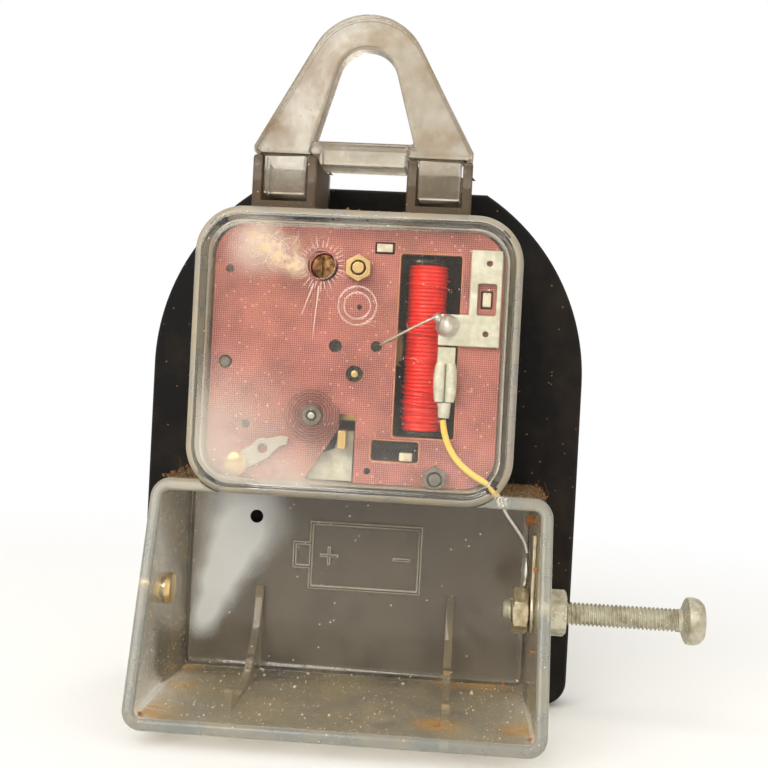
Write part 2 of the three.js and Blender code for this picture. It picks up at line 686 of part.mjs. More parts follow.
function addHangingLoop() {
  const { halfWidth, postWidth, postTop, rim, loopLow, top, openTop } = HANGER;
  const base = postTop + GAP;
  const barHalf = halfWidth - postWidth - GAP;
  const outer = prism(tent(halfWidth, base, 38.8, top - 10.4, 10.4), loopLow, rim, 14);
  const opening = prism(tent(8.7, 39.9, 40.2, openTop - 5.2, 5.2), loopLow - 4, rim + 1, 14);
  const bar = block(-barHalf, barHalf, 35.75, 39.9, loopLow - 3, rim);
  const tongue = (side) => {
    const [near, far] = [halfWidth - postWidth + 1.9, halfWidth - 1.9];
    const [x0, x1] = side > 0 ? [near, far] : [-far, -near];
    return block(x0, x1, 30.5, base + 1, loopLow, rim - 0.2);
  };
  const body = join(cut(outer, opening), bar, tongue(-1), tongue(1));
  add('hanging_loop', moved(body, { x: HANGER.x, z: 0 }), 'clear');
}

// ---- battery contacts ----------------------------------------------------------------------
function addContacts() {
  add('contact_screw', turnedAlongX([
    [0, 27.4], [1.5, 27.4], [
      1.95,
      27.9,
    ], [1.95, 57.4], [3.9, 58.3], [4, 59.2], [3.7, 60.6], [2.6, 61.4], [0, 61.5],
  ]), 'zinc');
  const nut = (x0, x1) => {
    const hexagon = turnedAlongX([[0, x0], [4.04, x0], [4.04, x1], [0, x1]], 6);
    return cut(hexagon, turnedAlongX([[0, x0 - 1], [2.3, x0 - 1], [2.3, x1 + 1], [0, x1 + 1]]));
  };
  const wallInside = BOX.right - WALL;
  add('inner_nut', nut(28.9, 31.5), 'zinc');
  add('outer_nut', nut(BOX.right + GAP, 38), 'zinc');
  const eye = turnedAlongX(
    [[0, wallInside - 0.8], [3.7, wallInside - 0.8], [3.7, wallInside - GAP], [0, wallInside - GAP]],
  );
  const strip = block(wallInside - 0.8, wallInside - GAP, CELL_AXIS.z, -25.8, 17.6, 22.4);
  const eyeHole = turnedAlongX([[0, 28], [2.35, 28], [2.35, 34], [0, 34]]);
  add('solder_tag', cut(join(eye, strip), eyeHole), 'zinc');
  const drop = new THREE.SphereGeometry(2, 14, 10);
  drop.scale(0.32, 0.95, 1.3);
  drop.translate(wallInside - 1.75, -20, -32.2);
  add('tag_solder', solid(drop), 'solder');
  add('contact_rivet', turnedAlongX([
    [0, BOX.left - 1.1], [1.6, BOX.left - 1.1], [2.2, BOX.left - GAP], [1.3, BOX.left - GAP],
    [
      1.3,
      BOX.left + WALL + GAP,
    ], [2.8, BOX.left + WALL + GAP], [2.5, BOX.left + WALL + 1.2], [0, BOX.left + WALL + 1.4],
  ]), 'brass');
}

addDialSide();
addMotionWork();
addPlates();
addPillars();
addTrain();
addBalance();
addRegulator();
addCoil();
addTerminals();
add('yellow_lead', tube(LEAD_ROUTE, LEAD_RADIUS, 26), 'yellow');
addCover();
addCase();
addHangingLoop();
addContacts();

export default clock;
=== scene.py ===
"""Looks of a battery clock and timer movement in a clear case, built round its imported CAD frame.

The clear mouldings, the laminate plate, the coil, the wiring, the screw and the dust are made here
in mesh code. Sizes are millimetres from the centre arbor of the hands: x to the right, z up, and
height from the back of the clear case towards the service side.
"""
import json
import logging
import math
import random
from dataclasses import dataclass, field
from enum import Enum
from typing import Callable, Optional, Sequence, Union

import bmesh
import bpy
from mathutils import Matrix, Vector, noise


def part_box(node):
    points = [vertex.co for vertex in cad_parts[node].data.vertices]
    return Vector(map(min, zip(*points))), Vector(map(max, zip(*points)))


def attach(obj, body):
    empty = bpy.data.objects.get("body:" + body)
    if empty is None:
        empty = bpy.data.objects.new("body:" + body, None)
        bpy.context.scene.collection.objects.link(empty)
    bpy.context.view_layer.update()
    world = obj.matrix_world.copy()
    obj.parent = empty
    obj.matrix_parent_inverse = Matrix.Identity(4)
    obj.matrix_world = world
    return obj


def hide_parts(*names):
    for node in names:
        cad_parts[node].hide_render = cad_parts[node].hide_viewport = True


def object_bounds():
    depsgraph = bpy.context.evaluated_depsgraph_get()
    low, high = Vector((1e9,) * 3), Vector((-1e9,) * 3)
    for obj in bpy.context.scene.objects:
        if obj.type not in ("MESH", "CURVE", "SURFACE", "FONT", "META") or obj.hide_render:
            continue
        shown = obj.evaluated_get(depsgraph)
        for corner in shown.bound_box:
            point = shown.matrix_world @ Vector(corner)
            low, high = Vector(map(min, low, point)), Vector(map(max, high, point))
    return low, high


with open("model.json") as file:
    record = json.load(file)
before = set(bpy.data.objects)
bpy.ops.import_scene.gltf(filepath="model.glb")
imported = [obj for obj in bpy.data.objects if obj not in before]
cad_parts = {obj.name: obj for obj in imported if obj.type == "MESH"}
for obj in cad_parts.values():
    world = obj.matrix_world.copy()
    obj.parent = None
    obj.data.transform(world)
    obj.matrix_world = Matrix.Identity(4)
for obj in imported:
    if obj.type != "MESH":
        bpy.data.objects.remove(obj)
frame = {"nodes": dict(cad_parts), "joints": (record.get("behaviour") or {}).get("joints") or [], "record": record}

CAD_BOUNDS = [list(map(float, corner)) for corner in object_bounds()]
LOG = logging.getLogger("clock")
MM = 0.001
RELIEF = 0.1 * MM
LEAD_HOLE = 0.95
SEED = 7

Pair = tuple[float, float]
Triple = tuple[float, float, float]
Colour = tuple[float, float, float]
Value = Union[float, Sequence[float], bpy.types.NodeSocket]
Height = Union[float, Callable[[float], float]]
Test = Callable[[float, float, float], bool]


def joint_centre(name: str) -> Vector:
    """The point that a joint turns about, in the row frame.

    Args:
        name: the joint's name in the record.

    Returns:
        The point in metres.
    """
    joint = next(j for j in frame["joints"] if j["name"] == name)
    return Vector(joint["pos_m"])


ARBOR = joint_centre("minute_turn")
CASE_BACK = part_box("clear_case")[1].y


def place(x: float, z: float, height: float) -> Vector:
    """A point of the row frame, from millimetres about the centre arbor.

    Args:
        x: distance to the right of the arbor.
        z: distance above the arbor.
        height: distance from the case's back towards the service side.

    Returns:
        The point in metres.
    """
    return Vector((ARBOR.x + x * MM, CASE_BACK - height * MM, ARBOR.z + z * MM))


def about(joint: str) -> Pair:
    """The x and z, in millimetres from the centre arbor, of another joint's axis.

    Args:
        joint: the joint's name.

    Returns:
        x and z in millimetres.
    """
    away = (joint_centre(joint) - ARBOR) / MM
    return away.x, away.z


# ---- outlines -------------------------------------------------------------------------------
def arc(centre: Pair, radius: float, start: float, end: float, steps: int) -> list[Pair]:
    """Points along an arc.

    Args:
        centre: the arc's centre.
        radius: its radius.
        start: first angle in degrees.
        end: last angle in degrees.
        steps: number of chords.

    Returns:
        The points, both ends included.
    """
    angles = [math.radians(start + (end - start) * i / steps) for i in range(steps + 1)]
    return [(centre[0] + radius * math.cos(a), centre[1] + radius * math.sin(a)) for a in angles]


def circle(centre: Pair, radius: float, steps: int = 40) -> list[Pair]:
    """A closed circle as points, without a doubled last point."""
    return arc(centre, radius, 0, 360, steps)[:-1]


@dataclass(frozen=True)
class RoundedBox:
    """A rectangle with round corners, in millimetres."""

    left: float
    right: float
    bottom: float
    top: float
    corner: float

    def points(self, inset: float = 0.0, steps: int = 10) -> list[Pair]:
        """The outline, drawn in by inset.

        Args:
            inset: how far each side moves in.
            steps: chords in each corner.

        Returns:
            The points, anticlockwise.
        """
        x0, x1 = self.left + inset, self.right - inset
        z0, z1 = self.bottom + inset, self.top - inset
        r = max(self.corner - inset, 0.3)
        return (
            arc((x1 - r, z0 + r), r, -90, 0, steps)
            + arc((x1 - r, z1 - r), r, 0, 90, steps)
            + arc((x0 + r, z1 - r), r, 90, 180, steps)
            + arc((x0 + r, z0 + r), r, 180, 270, steps)
        )


# ---- mesh workshop --------------------------------------------------------------------------
def linked(name: str, data: bpy.types.ID) -> bpy.types.Object:
    """A new object in the scene that holds the data."""
    body = bpy.data.objects.new(name, data)
    bpy.context.scene.collection.objects.link(body)
    return body


def poured(name: str, mesh: bmesh.types.BMesh) -> bpy.types.Object:
    """Puts a bmesh into the scene as it is, and frees it."""
    data = bpy.data.meshes.new(name)
    mesh.to_mesh(data)
    mesh.free()
    return linked(name, data)


def discard(body: bpy.types.Object) -> None:
    """Removes an object and its mesh."""
    data = body.data
    bpy.data.objects.remove(body)
    bpy.data.meshes.remove(data)


def skin(mesh: bmesh.types.BMesh, rings: Sequence[Sequence[bmesh.types.BMVert]], ends: bool = True) -> None:
    """Joins closed rings of points by faces, one ring to the next.

    Args:
        mesh: the geometry that the rings are in.
        rings: the rings, each with the same number of points.
        ends: whether the first and last rings are closed by a face.
    """
    for one, two in zip(rings, rings[1:]):
        for i in range(len(one)):
            k = (i + 1) % len(one)
            mesh.faces.new((one[i], one[k], two[k], two[i]))
    if ends:
        mesh.faces.new(rings[0])
        mesh.faces.new(list(reversed(rings[-1])))


def new_object(name: str, mesh: bmesh.types.BMesh) -> bpy.types.Object:
    """Puts a bmesh into the scene, welded and with its normals outwards.

    Args:
        name: the object's name.
        mesh: the geometry, freed here.

    Returns:
        The new object.
    """
    bmesh.ops.remove_doubles(mesh, verts=mesh.verts, dist=1e-7)
    bmesh.ops.recalc_face_normals(mesh, faces=mesh.faces)
    return poured(name, mesh)


def prism(name: str, outline: Sequence[Pair], low: float, high: float) -> bpy.types.Object:
    """An outline in the x-z plane, extruded between two heights."""
    mesh = bmesh.new()
    rings = [[mesh.verts.new(place(x, z, height)) for x, z in outline] for height in (low, high)]
    mesh.faces.new(rings[0])
    mesh.faces.new(list(reversed(rings[1])))
    count = len(outline)
    for i in range(count):
        k = (i + 1) % count
        mesh.faces.new((rings[0][i], rings[0][k], rings[1][k], rings[1][i]))
    return new_object(name, mesh)


def slab(name: str, x: Pair, z: Pair, height: Pair) -> bpy.types.Object:
    """A block between pairs of limits."""
    return prism(name, [(x[0], z[0]), (x[1], z[0]), (x[1], z[1]), (x[0], z[1])], *height)


class Axis(Enum):
    """The direction that a turned piece's axis takes."""

    HEIGHT = "height"
    ACROSS = "across"
    UP = "up"


def axis_point(axis: Axis, centre: Triple, radius: float, along: float, angle: float) -> Vector:
    """A point at a radius and an angle about an axis.

    Args:
        axis: the axis's direction.
        centre: x, z and height of a point on the axis.
        radius: distance from the axis.
        along: distance along the axis from its centre.
        angle: angle in radians.

    Returns:
        The point in the row frame.
    """
    u, v = radius * math.cos(angle), radius * math.sin(angle)
    x, z, height = centre
    if axis is Axis.HEIGHT:
        return place(x + u, z + v, height + along)
    if axis is Axis.ACROSS:
        return place(x + along, z + u, height + v)
    return place(x + u, z + along, height + v)


def turned(
    name: str, profile: Sequence[Pair], axis: Axis, centre: Triple, steps: int = 48
) -> bpy.types.Object:
    """A profile of (radius, along) pairs turned about an axis. Radius 0 closes an end.

    Args:
        name: the object's name.
        profile: the pairs, from one end to the other, or closed on itself.
        axis: the axis's direction.
        centre: x, z and height of the axis's zero.
        steps: segments round the axis.

    Returns:
        The new object.
    """
    mesh = bmesh.new()
    rings = []
    for radius, along in profile:
        count = steps if radius > 1e-6 else 1
        angles = [2 * math.pi * i / steps for i in range(count)]
        rings.append([mesh.verts.new(axis_point(axis, centre, radius, along, a)) for a in angles])
    for one, two in zip(rings, rings[1:]):
        for i in range(steps):
            k = (i + 1) % steps
            corners = [one[i % len(one)], one[k % len(one)], two[k % len(two)], two[i % len(two)]]
            unique = list(dict.fromkeys(corners))
            if len(unique) > 2:
                mesh.faces.new(unique)
    return new_object(name, mesh)


def swept(
    name: str, line: Sequence[Vector], radius: Callable[[float], float], steps: int = 12
) -> bpy.types.Object:
    """A round section swept along points, closed at both ends.

    Args:
        name: the object's name.
        line: the centre line in the row frame.
        radius: radius in millimetres at a share of the length.
        steps: sides of the section.

    Returns:
        The new object.
    """
    mesh = bmesh.new()
    rings = []
    normal = Vector((0, 0, 1))
    for i, point in enumerate(line):
        along = (line[min(i + 1, len(line) - 1)] - line[max(i - 1, 0)]).normalized()
        normal = (normal - along * normal.dot(along)).normalized()
        side = along.cross(normal)
        size = radius(i / (len(line) - 1)) * MM
        angles = [2 * math.pi * k / steps for k in range(steps)]
        rings.append([
            mesh.verts.new(point + size * (math.cos(a) * normal + math.sin(a) * side)) for a in angles
        ])
    skin(mesh, rings)
    return new_object(name, mesh)


def smooth_line(points: Sequence[Vector], steps: int = 8) -> list[Vector]:
    """A Catmull-Rom line through points.

    Args:
        points: the points that the line passes.
        steps: pieces between one point and the next.

    Returns:
        The denser line.
    """
    ends = [points[0] * 2 - points[1], *points, points[-1] * 2 - points[-2]]
    line = []
    for a, b, c, d in zip(ends, ends[1:], ends[2:], ends[3:]):
        for i in range(steps):
            t = i / steps
            line.append(0.5 * (
                2 * b + (c - a) * t + (2 * a - 5 * b + 4 * c - d) * t * t
                + (3 * b - a - 3 * c + d) * t * t * t
            ))
    return [*line, points[-1]]


def bake(body: bpy.types.Object) -> bpy.types.Object:
    """Applies an object's modifiers and returns the object."""
    bpy.context.view_layer.update()
    evaluated = body.evaluated_get(bpy.context.evaluated_depsgraph_get())
    data = bpy.data.meshes.new_from_object(evaluated)
    old = body.data
    body.modifiers.clear()
    body.data = data
    bpy.data.meshes.remove(old)
    return body


class Cut(Enum):
    """What a boolean does to a body."""

    AWAY = "DIFFERENCE"
    JOIN = "UNION"


def combine(body: bpy.types.Object, how: Cut, *tools: bpy.types.Object) -> bpy.types.Object:
    """Cuts tools from a body, or joins them to it, and removes the tools.

    Args:
        body: the piece that is changed.
        how: cut away or join.
        tools: the other solids.

    Returns:
        The body.
    """
    for tool in tools:
        modifier = body.modifiers.new("cut", "BOOLEAN")
        modifier.operation = how.value
        modifier.solver = "EXACT"
        modifier.object = tool
        bake(body)
        discard(tool)
    return body


def soften(body: bpy.types.Object, width: float, segments: int = 3, angle: float = 32) -> bpy.types.Object:
    """Rounds every edge that is sharper than an angle.

    Args:
        body: the piece.
        width: width of the round in millimetres.
        segments: faces across the round.
        angle: the least angle, in degrees, of an edge that is rounded.

    Returns:
        The body.
    """
    modifier = body.modifiers.new("edges", "BEVEL")
    modifier.width = width * MM
    modifier.segments = segments
    modifier.limit_method = "ANGLE"
    modifier.angle_limit = math.radians(angle)
    modifier.use_clamp_overlap = False
    return bake(body)


def shade(body: bpy.types.Object, angle: float = 38) -> bpy.types.Object:
    """Shades a body smooth, with creases where faces meet at more than an angle."""
    for face in body.data.polygons:
        face.use_smooth = True
    body.data.set_sharp_from_angle(angle=math.radians(angle))
    modifier = body.modifiers.new("normals", "WEIGHTED_NORMAL")
    modifier.keep_sharp = True
    return bake(body)


def roughen(body: bpy.types.Object, size: float, depth: float) -> bpy.types.Object:
    """Moves a body's points along their normals by smooth noise.

    Args:
        body: the piece.
        size: size of the lumps in millimetres.
        depth: most that a point moves, in millimetres.

    Returns:
        The body.
    """
    for vertex in body.data.vertices:
        lump = noise.noise(vertex.co / (size * MM))
        vertex.co += vertex.normal * lump * depth * MM
    body.data.update()
    return body


def copy_of(node: str, name: str) -> bpy.types.Object:
    """A free copy of a CAD node's mesh, welded and with its flat faces joined.

    Args:
        node: the CAD node.
        name: the copy's name.

    Returns:
        The copy.
    """
    mesh = bmesh.new()
    mesh.from_mesh(frame["nodes"][node].data)
    bmesh.ops.remove_doubles(mesh, verts=mesh.verts, dist=2e-6)
    bmesh.ops.dissolve_limit(mesh, angle_limit=math.radians(1), verts=mesh.verts, edges=mesh.edges)
    return new_object(name, mesh)


# ---- shader groups --------------------------------------------------------------------------
class Graph:
    """Short calls for the nodes of a material or a group."""

    def __init__(self, tree: bpy.types.NodeTree) -> None:
        """Keeps the tree that nodes are added to."""
        self.tree = tree

    def node(self, kind: str, settings: Optional[dict] = None, **inputs: Value) -> bpy.types.Node:
        """Adds a node.

        Args:
            kind: the node's type, without the ShaderNode prefix.
            settings: properties of the node.
            inputs: values or sockets for its inputs, with _ for a space.

        Returns:
            The node.
        """
        made = self.tree.nodes.new("ShaderNode" + kind)
        for key, value in (settings or {}).items():
            setattr(made, key, value)
        for key, value in inputs.items():
            self.feed(made.inputs[key.replace("_", " ")], value)
        return made

    def feed(self, socket: bpy.types.NodeSocket, value: Value) -> None:
        """Links or sets one input."""
        if isinstance(value, bpy.types.NodeSocket):
            self.tree.links.new(value, socket)
        else:
            socket.default_value = value

    def maths(self, operation: str, a: Value, b: Value = 0.0) -> bpy.types.NodeSocket:
        """One sum, product or comparison of two values."""
        made = self.node("Math", {"operation": operation, "use_clamp": operation != "MODULO"})
        self.feed(made.inputs[0], a)
        self.feed(made.inputs[1], b)
        return made.outputs[0]

    def vector(self, operation: str, *values: Value) -> bpy.types.Node:
        """One sum, product or distance of vectors."""
        made = self.node("VectorMath", {"operation": operation})
        for socket, value in zip(made.inputs, values):
            self.feed(socket, value)
        return made

    def mix(self, share: Value, a: Value, b: Value) -> bpy.types.NodeSocket:
        """A mix of two shaders, by the share of the second."""
        made = self.node("MixShader")
        for socket, value in zip(made.inputs, (share, a, b)):
            self.feed(socket, value)
        return made.outputs[0]

    def blend(self, share: Value, a: Value, b: Value) -> bpy.types.NodeSocket:
        """A mix of two colours.

        Args:
            share: 0 for a, 1 for b.
            a: first colour.
            b: second colour.

        Returns:
            The mixed colour's socket.
        """
        made = self.node("Mix", {"data_type": "RGBA"})
        self.feed(made.inputs[0], share)
        for slot, value in ((6, a), (7, b)):
            if not isinstance(value, bpy.types.NodeSocket):
                value = (*value[:3], 1.0)
            self.feed(made.inputs[slot], value)
        return made.outputs[2]

    def ranged(
        self, value: Value, low: float, high: float, start: float, end: float, eased: bool = False
    ) -> bpy.types.NodeSocket:
        """Maps a value from one range to another, kept within it and eased at both ends when asked."""
        kind = {"interpolation_type": "SMOOTHSTEP" if eased else "LINEAR"}
        made = self.node("MapRange", kind, Value=value, From_Min=low, From_Max=high, To_Min=start, To_Max=end)
        return made.outputs[0]

    def relief(self, strength: float, height: Value) -> bpy.types.NodeSocket:
        """The normal that a height gives."""
        return self.node("Bump", Strength=strength, Distance=RELIEF, Height=height).outputs[0]

    def where(self) -> bpy.types.NodeSocket:
        """The point on the piece, in metres, which moves with the piece."""
        return self.node("TexCoord").outputs["Object"]


def shader_group(
    name: str, inputs: dict[str, float], outputs: Sequence[str], build: Callable[..., dict]
) -> bpy.types.NodeTree:
    """Makes a node group once, and finds it after that.

    Args:
        name: the group's name.
        inputs: each input's name and default.
        outputs: the outputs' names, all single values.
        build: fills the group: it takes the graph and the inputs' sockets and returns the outputs.

    Returns:
        The group's tree.
    """
    if name in bpy.data.node_groups:
        return bpy.data.node_groups[name]
    tree = bpy.data.node_groups.new(name, "ShaderNodeTree")
    for key, value in inputs.items():
        socket = tree.interface.new_socket(name=key, in_out="INPUT", socket_type="NodeSocketFloat")
        socket.default_value = value
    for key in outputs:
        tree.interface.new_socket(name=key, in_out="OUTPUT", socket_type="NodeSocketFloat")
    entry = tree.nodes.new("NodeGroupInput")
    leave = tree.nodes.new("NodeGroupOutput")
    graph = Graph(tree)
    results = build(graph, {key: entry.outputs[key] for key in inputs})
    for key, socket in results.items():
        tree.links.new(socket, leave.inputs[key])
    return tree


def patches_group() -> bpy.types.NodeTree:
    """Soft-edged patches of dust, stain or tarnish, which also make the painted shade and painted reflection films
    uneven.
    """

    def build(graph: Graph, ins: dict) -> dict:
        """Thresholds two scales of noise."""
        broad = graph.node("TexNoise", Vector=graph.where(), Scale=ins["Scale"], Detail=6.0, Roughness=0.62)
        edge = graph.maths("SUBTRACT", 1.0, ins["Amount"])
        over = graph.maths("SUBTRACT", broad.outputs[0], graph.maths("MULTIPLY", edge, 0.72))
        return {"Mask": graph.maths("MULTIPLY", over, ins["Contrast"])}

    return shader_group("patches", {"Scale": 300.0, "Amount": 0.4, "Contrast": 4.0}, ["Mask"], build)


def specks_group() -> bpy.types.NodeTree:
    """Scattered round specks, such as dust grains or pitting."""

    def build(graph: Graph, ins: dict) -> dict:
        """Keeps the centres of some Voronoi cells."""
        cells = graph.node("TexVoronoi", Vector=graph.where(), Scale=ins["Scale"])
        near = graph.maths("LESS_THAN", cells.outputs["Distance"], ins["Size"])
        pick = graph.node("SeparateColor", Color=cells.outputs["Color"]).outputs[0]
        kept = graph.maths("LESS_THAN", pick, ins["Amount"])
        return {"Mask": graph.maths("MULTIPLY", near, kept)}

    return shader_group("specks", {"Scale": 1200.0, "Size": 0.25, "Amount": 0.3}, ["Mask"], build)


def weave_group() -> bpy.types.NodeTree:
    """A plain weave: threads over and under in x and z."""

    def build(graph: Graph, ins: dict) -> dict:
        """Crosses two sets of bands."""
        bands = []
        for direction in ("X", "Z"):
            wave = graph.node(
                "TexWave",
                {"wave_type": "BANDS", "bands_direction": direction, "wave_profile": "SIN"},
                Vector=graph.where(), Scale=ins["Scale"], Distortion=1.4, Detail=2.0, Detail_Scale=0.4,
            )
            bands.append(wave.outputs["Fac"])
        warp, weft = (graph.maths("MULTIPLY", band, 0.5) for band in bands)
        return {"Height": graph.maths("ADD", warp, weft), "Threads": graph.maths("MULTIPLY", *bands)}

    return shader_group("weave", {"Scale": 700.0}, ["Height", "Threads"], build)


def grain_group() -> bpy.types.NodeTree:
    """Fine surface grain, as a height."""

    def build(graph: Graph, ins: dict) -> dict:
        """Takes two octaves of noise."""
        fine = graph.node("TexNoise", Vector=graph.where(), Scale=ins["Scale"], Detail=5.0, Roughness=0.6)
        return {"Height": fine.outputs[0]}

    return shader_group("grain", {"Scale": 1500.0}, ["Height"], build)


# ---- finishes -------------------------------------------------------------------------------
def shown(red: int, green: int, blue: int) -> Colour:
    """A linear colour from display values of 0 to 255."""
    def linear(part: float) -> float:
        """One channel."""
        return part / 12.92 if part <= 0.04045 else ((part + 0.055) / 1.055) ** 2.4

    return tuple(linear(part / 255) for part in (red, green, blue))


@dataclass(frozen=True)
class Finish:
    """A plain finish: one colour with worn patches, specks and grain."""

    name: str
    slot: str
    colour: Colour
    worn: Colour
    roughness: float = 0.45
    rough_worn: float = 0.7
    metallic: float = 0.0
    patch_scale: float = 260.0
    patch_amount: float = 0.35
    speck_amount: float = 0.0
    speck_scale: float = 1500.0
    speck_colour: Colour = (0.8, 0.75, 0.65)
    grain: float = 0.15
    grain_scale: float = 1800.0
    coat: float = 0.0
    specular: float = 0.5

    def material(self) -> bpy.types.Material:
        """The finish's material, made once."""
        if self.name in bpy.data.materials:
            return bpy.data.materials[self.name]
        material = bpy.data.materials.new(self.name)
        material.use_nodes = True
        graph = Graph(material.node_tree)
        self.dress(graph, material.node_tree.nodes["Principled BSDF"])
        return material

    def worn_share(self, graph: Graph) -> bpy.types.NodeSocket:
        """How worn each point is, from 0 to 1."""
        spots = graph.node(
            "Group", {"node_tree": patches_group()}, Scale=self.patch_scale, Amount=self.patch_amount,
        )
        return spots.outputs["Mask"]

    def base(self, graph: Graph, worn: bpy.types.NodeSocket) -> bpy.types.NodeSocket:
        """The colour over the surface."""
        colour = graph.blend(worn, self.colour, self.worn)
        if self.speck_amount:
            dots = graph.node(
                "Group", {"node_tree": specks_group()}, Scale=self.speck_scale, Size=0.3,
                Amount=self.speck_amount,
            )
            colour = graph.blend(dots.outputs["Mask"], colour, self.speck_colour)
        return colour

    def bump(self, graph: Graph) -> bpy.types.NodeSocket:
        """The normal, with the finish's grain."""
        grain = graph.node("Group", {"node_tree": grain_group()}, Scale=self.grain_scale)
        return graph.relief(self.grain, grain.outputs["Height"])

    def dress(self, graph: Graph, shader: bpy.types.Node) -> None:
        """Fills the material.

        Args:
            graph: the material's graph.
            shader: its Principled shader.
        """
        worn = self.worn_share(graph)
        graph.feed(shader.inputs["Base Color"], self.base(graph, worn))
        graph.feed(shader.inputs["Roughness"], graph.ranged(worn, 0, 1, self.roughness, self.rough_worn))
        shader.inputs["Metallic"].default_value = self.metallic
        shader.inputs["Coat Weight"].default_value = self.coat
        shader.inputs["Specular IOR Level"].default_value = self.specular
        graph.feed(shader.inputs["Normal"], self.bump(graph))


@dataclass(frozen=True)
class Woven(Finish):
    """Fabric laminate: the cloth shows through the resin."""

    thread: Colour = (0.6, 0.3, 0.22)
    weave_scale: float = 860.0

    def base(self, graph: Graph, worn: bpy.types.NodeSocket) -> bpy.types.NodeSocket:
        """The resin's colour, with its specks and paler threads."""
        colour = super().base(graph, worn)
        weave = graph.node("Group", {"node_tree": weave_group()}, Scale=self.weave_scale)
        share = graph.maths("MULTIPLY", weave.outputs["Threads"], 0.8)
        return graph.blend(share, colour, self.thread)

    def bump(self, graph: Graph) -> bpy.types.NodeSocket:
        """The normal of the weave."""
        weave = graph.node("Group", {"node_tree": weave_group()}, Scale=self.weave_scale)
        return graph.relief(self.grain, weave.outputs["Height"])


@dataclass(frozen=True)
class ClearPlastic(Finish):
    """Aged clear polystyrene, which lets lamps through."""

    index: float = 1.57
    shadow: Colour = (0.93, 0.91, 0.86)

    def dress(self, graph: Graph, shader: bpy.types.Node) -> None:
        """Fills the material: glass for sight, and see-through for the lamps' rays."""
        worn = self.worn_share(graph)
        graph.feed(shader.inputs["Base Color"], graph.blend(worn, self.colour, self.worn))
        graph.feed(shader.inputs["Roughness"], graph.ranged(worn, 0, 1, self.roughness, self.rough_worn))
        shader.inputs["Transmission Weight"].default_value = 1.0
        shader.inputs["IOR"].default_value = self.index
        graph.feed(shader.inputs["Normal"], self.bump(graph))
        through = graph.node("BsdfTransparent", Color=(*self.shadow, 1.0)).outputs[0]
        path = graph.node("LightPath").outputs["Is Shadow Ray"]
        output = graph.tree.nodes["Material Output"]
        graph.feed(output.inputs["Surface"], graph.mix(path, shader.outputs[0], through))


@dataclass(frozen=True)
class DustFilm(Finish):
    """A thin film, of dust or stain on most pieces and of painted shade or a painted reflection on a few: only its
    patches and specks are there.
    """

    veil: float = 0.1
    density: float = 0.8
    spots: tuple[tuple[Triple, float], ...] = ()
    wander: float = 4.0

    def dress(self, graph: Graph, shader: bpy.types.Node) -> None:
        """Fills the material, with the film's cover as its alpha."""
        worn = self.worn_share(graph)
        dots = graph.node(
            "Group", {"node_tree": specks_group()}, Scale=self.speck_scale, Size=0.2,
            Amount=self.speck_amount,
        )
        mask = graph.maths("ADD", graph.maths("MULTIPLY", worn, self.density), self.veil)
        if self.spots:
            mask = graph.maths("MULTIPLY", mask, self.nearness(graph))
        mask = graph.maths("MAXIMUM", mask, graph.maths("MULTIPLY", dots.outputs["Mask"], 0.85))
        colour = graph.blend(worn, self.colour, self.worn)
        colour = graph.blend(dots.outputs["Mask"], colour, self.speck_colour)
        graph.feed(shader.inputs["Base Color"], colour)
        graph.feed(shader.inputs["Alpha"], mask)
        shader.inputs["Roughness"].default_value = self.roughness
        graph.feed(shader.inputs["Normal"], self.bump(graph))

    def nearness(self, graph: Graph) -> bpy.types.NodeSocket:
        """1 at the middle of any spot, falling to 0 at its radius."""
        total: Value = 0.0
        wander = graph.node("TexNoise", Vector=graph.where(), Scale=90.0, Detail=2.0).outputs["Color"]
        reach = (self.wander * MM, 0.0, self.wander * MM)
        moved = graph.vector("MULTIPLY_ADD", wander, reach, graph.where()).outputs[0]
        centred = graph.vector("SUBTRACT", moved, tuple(part / 2 for part in reach)).outputs[0]
        for (x, z, height), radius in self.spots:
            away = graph.vector("DISTANCE", centred, tuple(place(x, z, height))).outputs["Value"]
            near = graph.ranged(away, 0.05 * radius * MM, radius * MM, 1.0, 0.0, eased=True)
            total = graph.maths("ADD", total, near)
        return graph.maths("MINIMUM", total, 1.0)


CLEAR = ClearPlastic(
    "clear_polystyrene", "clear_plastic", shown(252, 250, 244), shown(248, 243, 230), roughness=0.05,
    rough_worn=0.16, patch_scale=90, patch_amount=0.42, grain=0.05, grain_scale=500,
)
AGED_CLEAR = ClearPlastic(
    "aged_polystyrene", "clear_plastic", shown(232, 226, 212), shown(218, 204, 178), roughness=0.05,
    rough_worn=0.2, patch_scale=110, patch_amount=0.45, grain=0.06, grain_scale=500,
)
BLACK = Finish(
    "black_paint", "black_plate", shown(9, 7, 6), shown(44, 36, 29), roughness=0.7, rough_worn=0.9,
    patch_scale=60, patch_amount=0.34, speck_amount=0.02, speck_scale=2200, speck_colour=shown(120, 100, 78),
    grain=0.3, specular=0.2,
)
DIAL_CARD = Finish(
    "dial_card", "dial_card", shown(228, 220, 196), shown(206, 192, 160), roughness=0.6, patch_scale=60,
    grain=0.2,
)
DIAL_INK = Finish(
    "dial_ink", "black_plate", shown(26, 24, 22), shown(48, 44, 40), roughness=0.5, patch_amount=0.2,
)
BRASS = Finish(
    "brass", "brass", shown(210, 172, 112), shown(140, 104, 60), roughness=0.32, rough_worn=0.5, metallic=1.0,
    patch_scale=500, patch_amount=0.38, grain=0.12,
)
WORN_BRASS = Finish(
    "worn_brass", "brass", shown(178, 138, 92), shown(92, 60, 38), roughness=0.4, rough_worn=0.6,
    metallic=0.8, patch_scale=900, patch_amount=0.5, grain=0.2,
)
PALE_BRASS = Finish(
    "pale_brass", "brass", shown(206, 194, 164), shown(156, 138, 106), roughness=0.3, rough_worn=0.5,
    metallic=0.9, patch_scale=500, patch_amount=0.4, grain=0.12,
)
